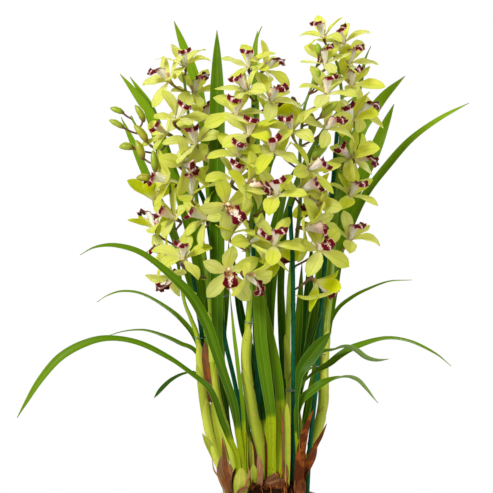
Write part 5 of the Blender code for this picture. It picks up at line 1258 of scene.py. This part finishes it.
def makeCanes():  # round bars along the routes, thinner upward, with a swollen joint at even steps
    look, share = caneShape, alongOf(caneShape)
    for number, (node, route) in enumerate(canes.items(), 1):
        path = pathOf(route, look["rows"])
        joint = (runOf(path) / look["jointEvery"] + 0.3 * number) % 1 - 0.5
        swell = 0.96 + look["jointSwell"] * np.exp(-joint**2 / look["jointWide"])
        radii = look["radius"] * (1 - look["taper"] * share) * swell
        cane = bars(path[None], radii[None], look["sides"], {"along": share}, 0.25)
        makePiece(f"cane_{number}", cane, "cane", node)
    print("made the canes")


# A tie: a loop drawn tight round stem and cane, whose two ends cross and wind round each other
def tieBars(stem, stemRadius, cane, height):
    look, level = tieShape, [1, 1, 0]
    first, second = stemAt(stem, height), stemAt(cane, height)
    way = (second - first) * level
    gap = np.linalg.norm(way)
    way = way / gap
    side = np.cross(vertical, way)
    near, far = stemRadius + look["gap"], caneShape["radius"] + look["gap"]
    angle = np.linspace(0, fullTurn, look["rows"])
    turned = np.cos(angle)
    along = turned * np.where(turned > 0, far, near)
    along = along + np.where(turned > 0, gap, 0) * np.clip(abs(turned) * 3, 0, 1)
    wide = np.sin(angle) * (near + (far - near) * (0.5 + 0.5 * turned))
    loop = (first * level + height * vertical + way * along[:, None] + side * wide[:, None]
            + vertical * (1.5 * np.sin(angle) + 0.8 * (angle / math.pi - 1))[:, None])
    out = unit(way - side)
    share = alongOf(look)[:, None]
    base = second * level + height * vertical + way * far * 0.7 - side * far * 0.7
    tails = [base + out * share * look["tail"] + vertical * share * look["tailRise"]
             + (np.cross(out, vertical) * np.cos(spin) + vertical * np.sin(spin)) * (0.9 + 0.5 * share**4)
             for spin in (share * look["tailTurns"] * fullTurn + start for start in (0.0, math.pi))]
    paths = np.array([loop, *tails])
    return bars(paths, np.full(paths.shape[:2], look["wire"]), look["sides"], {})


def makeTies():  # each tie where its stem and cane pass the height that the picture shows
    for node, (spike, cane, y) in ties.items():
        stem, radii = stemOf(spikes[spike])
        height = seen(potAxisX, y, 0)[2]
        radius = np.interp(height, stem[:, 2], radii)
        shape = tieBars(stem, radius, pathOf(canes[cane], caneShape["rows"]), height)
        makePiece("wound_" + node, shape, "wire", node)
    print("made the ties")


makeSpikes()
makeShoots()
makePot()
makeCanes()
makeTies()

# Stage: a pale round floor, soft studio light, and the picture's own viewing angle

stage = {
    "floorRadius": 0.72, "sides": 96, "floorColours": ((238, 238, 236), (244, 244, 243)),
    "worldLight": 0.36, "sensorWidth": 36.0,
    # place, aim, side and power of each lamp
    "lamps": {
        "key": ((-1.6, -1.9, 1.9), (0.0, 0.0, 0.45), 0.9, 74.0),
        "fill": ((1.9, -1.4, 1.1), (0.0, 0.0, 0.45), 1.3, 20.0),
        "rim": ((0.6, 1.9, 1.6), (0.0, 0.0, 0.5), 1.2, 26.0),
    },
}


def placed(name, data, place, turn=(0, 0, 0)):  # an object of the stage
    held = bpy.data.objects.new(name, data)
    held.location, held.rotation_euler = place, turn
    bpy.context.scene.collection.objects.link(held)
    return held


def makeStage():  # floor, white room, lamps and camera
    ring = ringAt(stage["floorRadius"], turnsOf(stage), 0.0)
    mesh = bpy.data.meshes.new("floor")
    mesh.from_pydata(ring.tolist(), [], [list(range(len(ring)))])
    finish = Finish("floor_paint", Roughness=0.7)
    finish.put(finish.shader.inputs["Base Color"],
               finish.mix(finish.noise(3.0, 2.0), *stage["floorColours"]))
    mesh.materials.append(finish.material)
    placed("floor", mesh, (0, 0, 0))

    # a white room for the camera's rays and a softer one for the light it gives
    world = bpy.data.worlds.new("studio")
    world.use_nodes = True
    tree = world.node_tree
    tree.nodes.clear()
    path, lit, plain, either, out = (tree.nodes.new("ShaderNode" + kind) for kind in (
        "LightPath", "Background", "Background", "MixShader", "OutputWorld"))
    for room, strength in ((lit, stage["worldLight"]), (plain, 1.0)):
        room.inputs["Color"].default_value = (1, 1, 1, 1)
        room.inputs["Strength"].default_value = strength
    feeds = path.outputs["Is Camera Ray"], lit.outputs[0], plain.outputs[0]
    for start, end in zip((*feeds, either.outputs[0]), (*either.inputs, out.inputs["Surface"])):
        tree.links.new(start, end)
    bpy.context.scene.world = world

    for name, (place, aim, side, power) in stage["lamps"].items():
        lamp = bpy.data.lights.new(name, "AREA")
        lamp.energy, lamp.size = power, side
        back = unit(np.array(place) - np.array(aim))
        placed(name, lamp, place, (math.acos(back[2]), 0, math.atan2(back[0], -back[1])))

    lens = bpy.data.cameras.new("camera")
    lens.sensor_width, lens.dof.use_dof = stage["sensorWidth"], False
    lens.lens = lens.sensor_width * eyeDistance / (pictureSide * pictureMm)
    eye = ((pictureMiddle - potAxisX) * pictureMm * mm, -eyeDistance * mm, eyeHeight * mm)
    bpy.context.scene.camera = placed("camera", lens, eye, (math.pi / 2, 0, 0))
    bpy.context.scene.view_settings.view_transform = "Standard"
    print("set the stage")


makeStage()
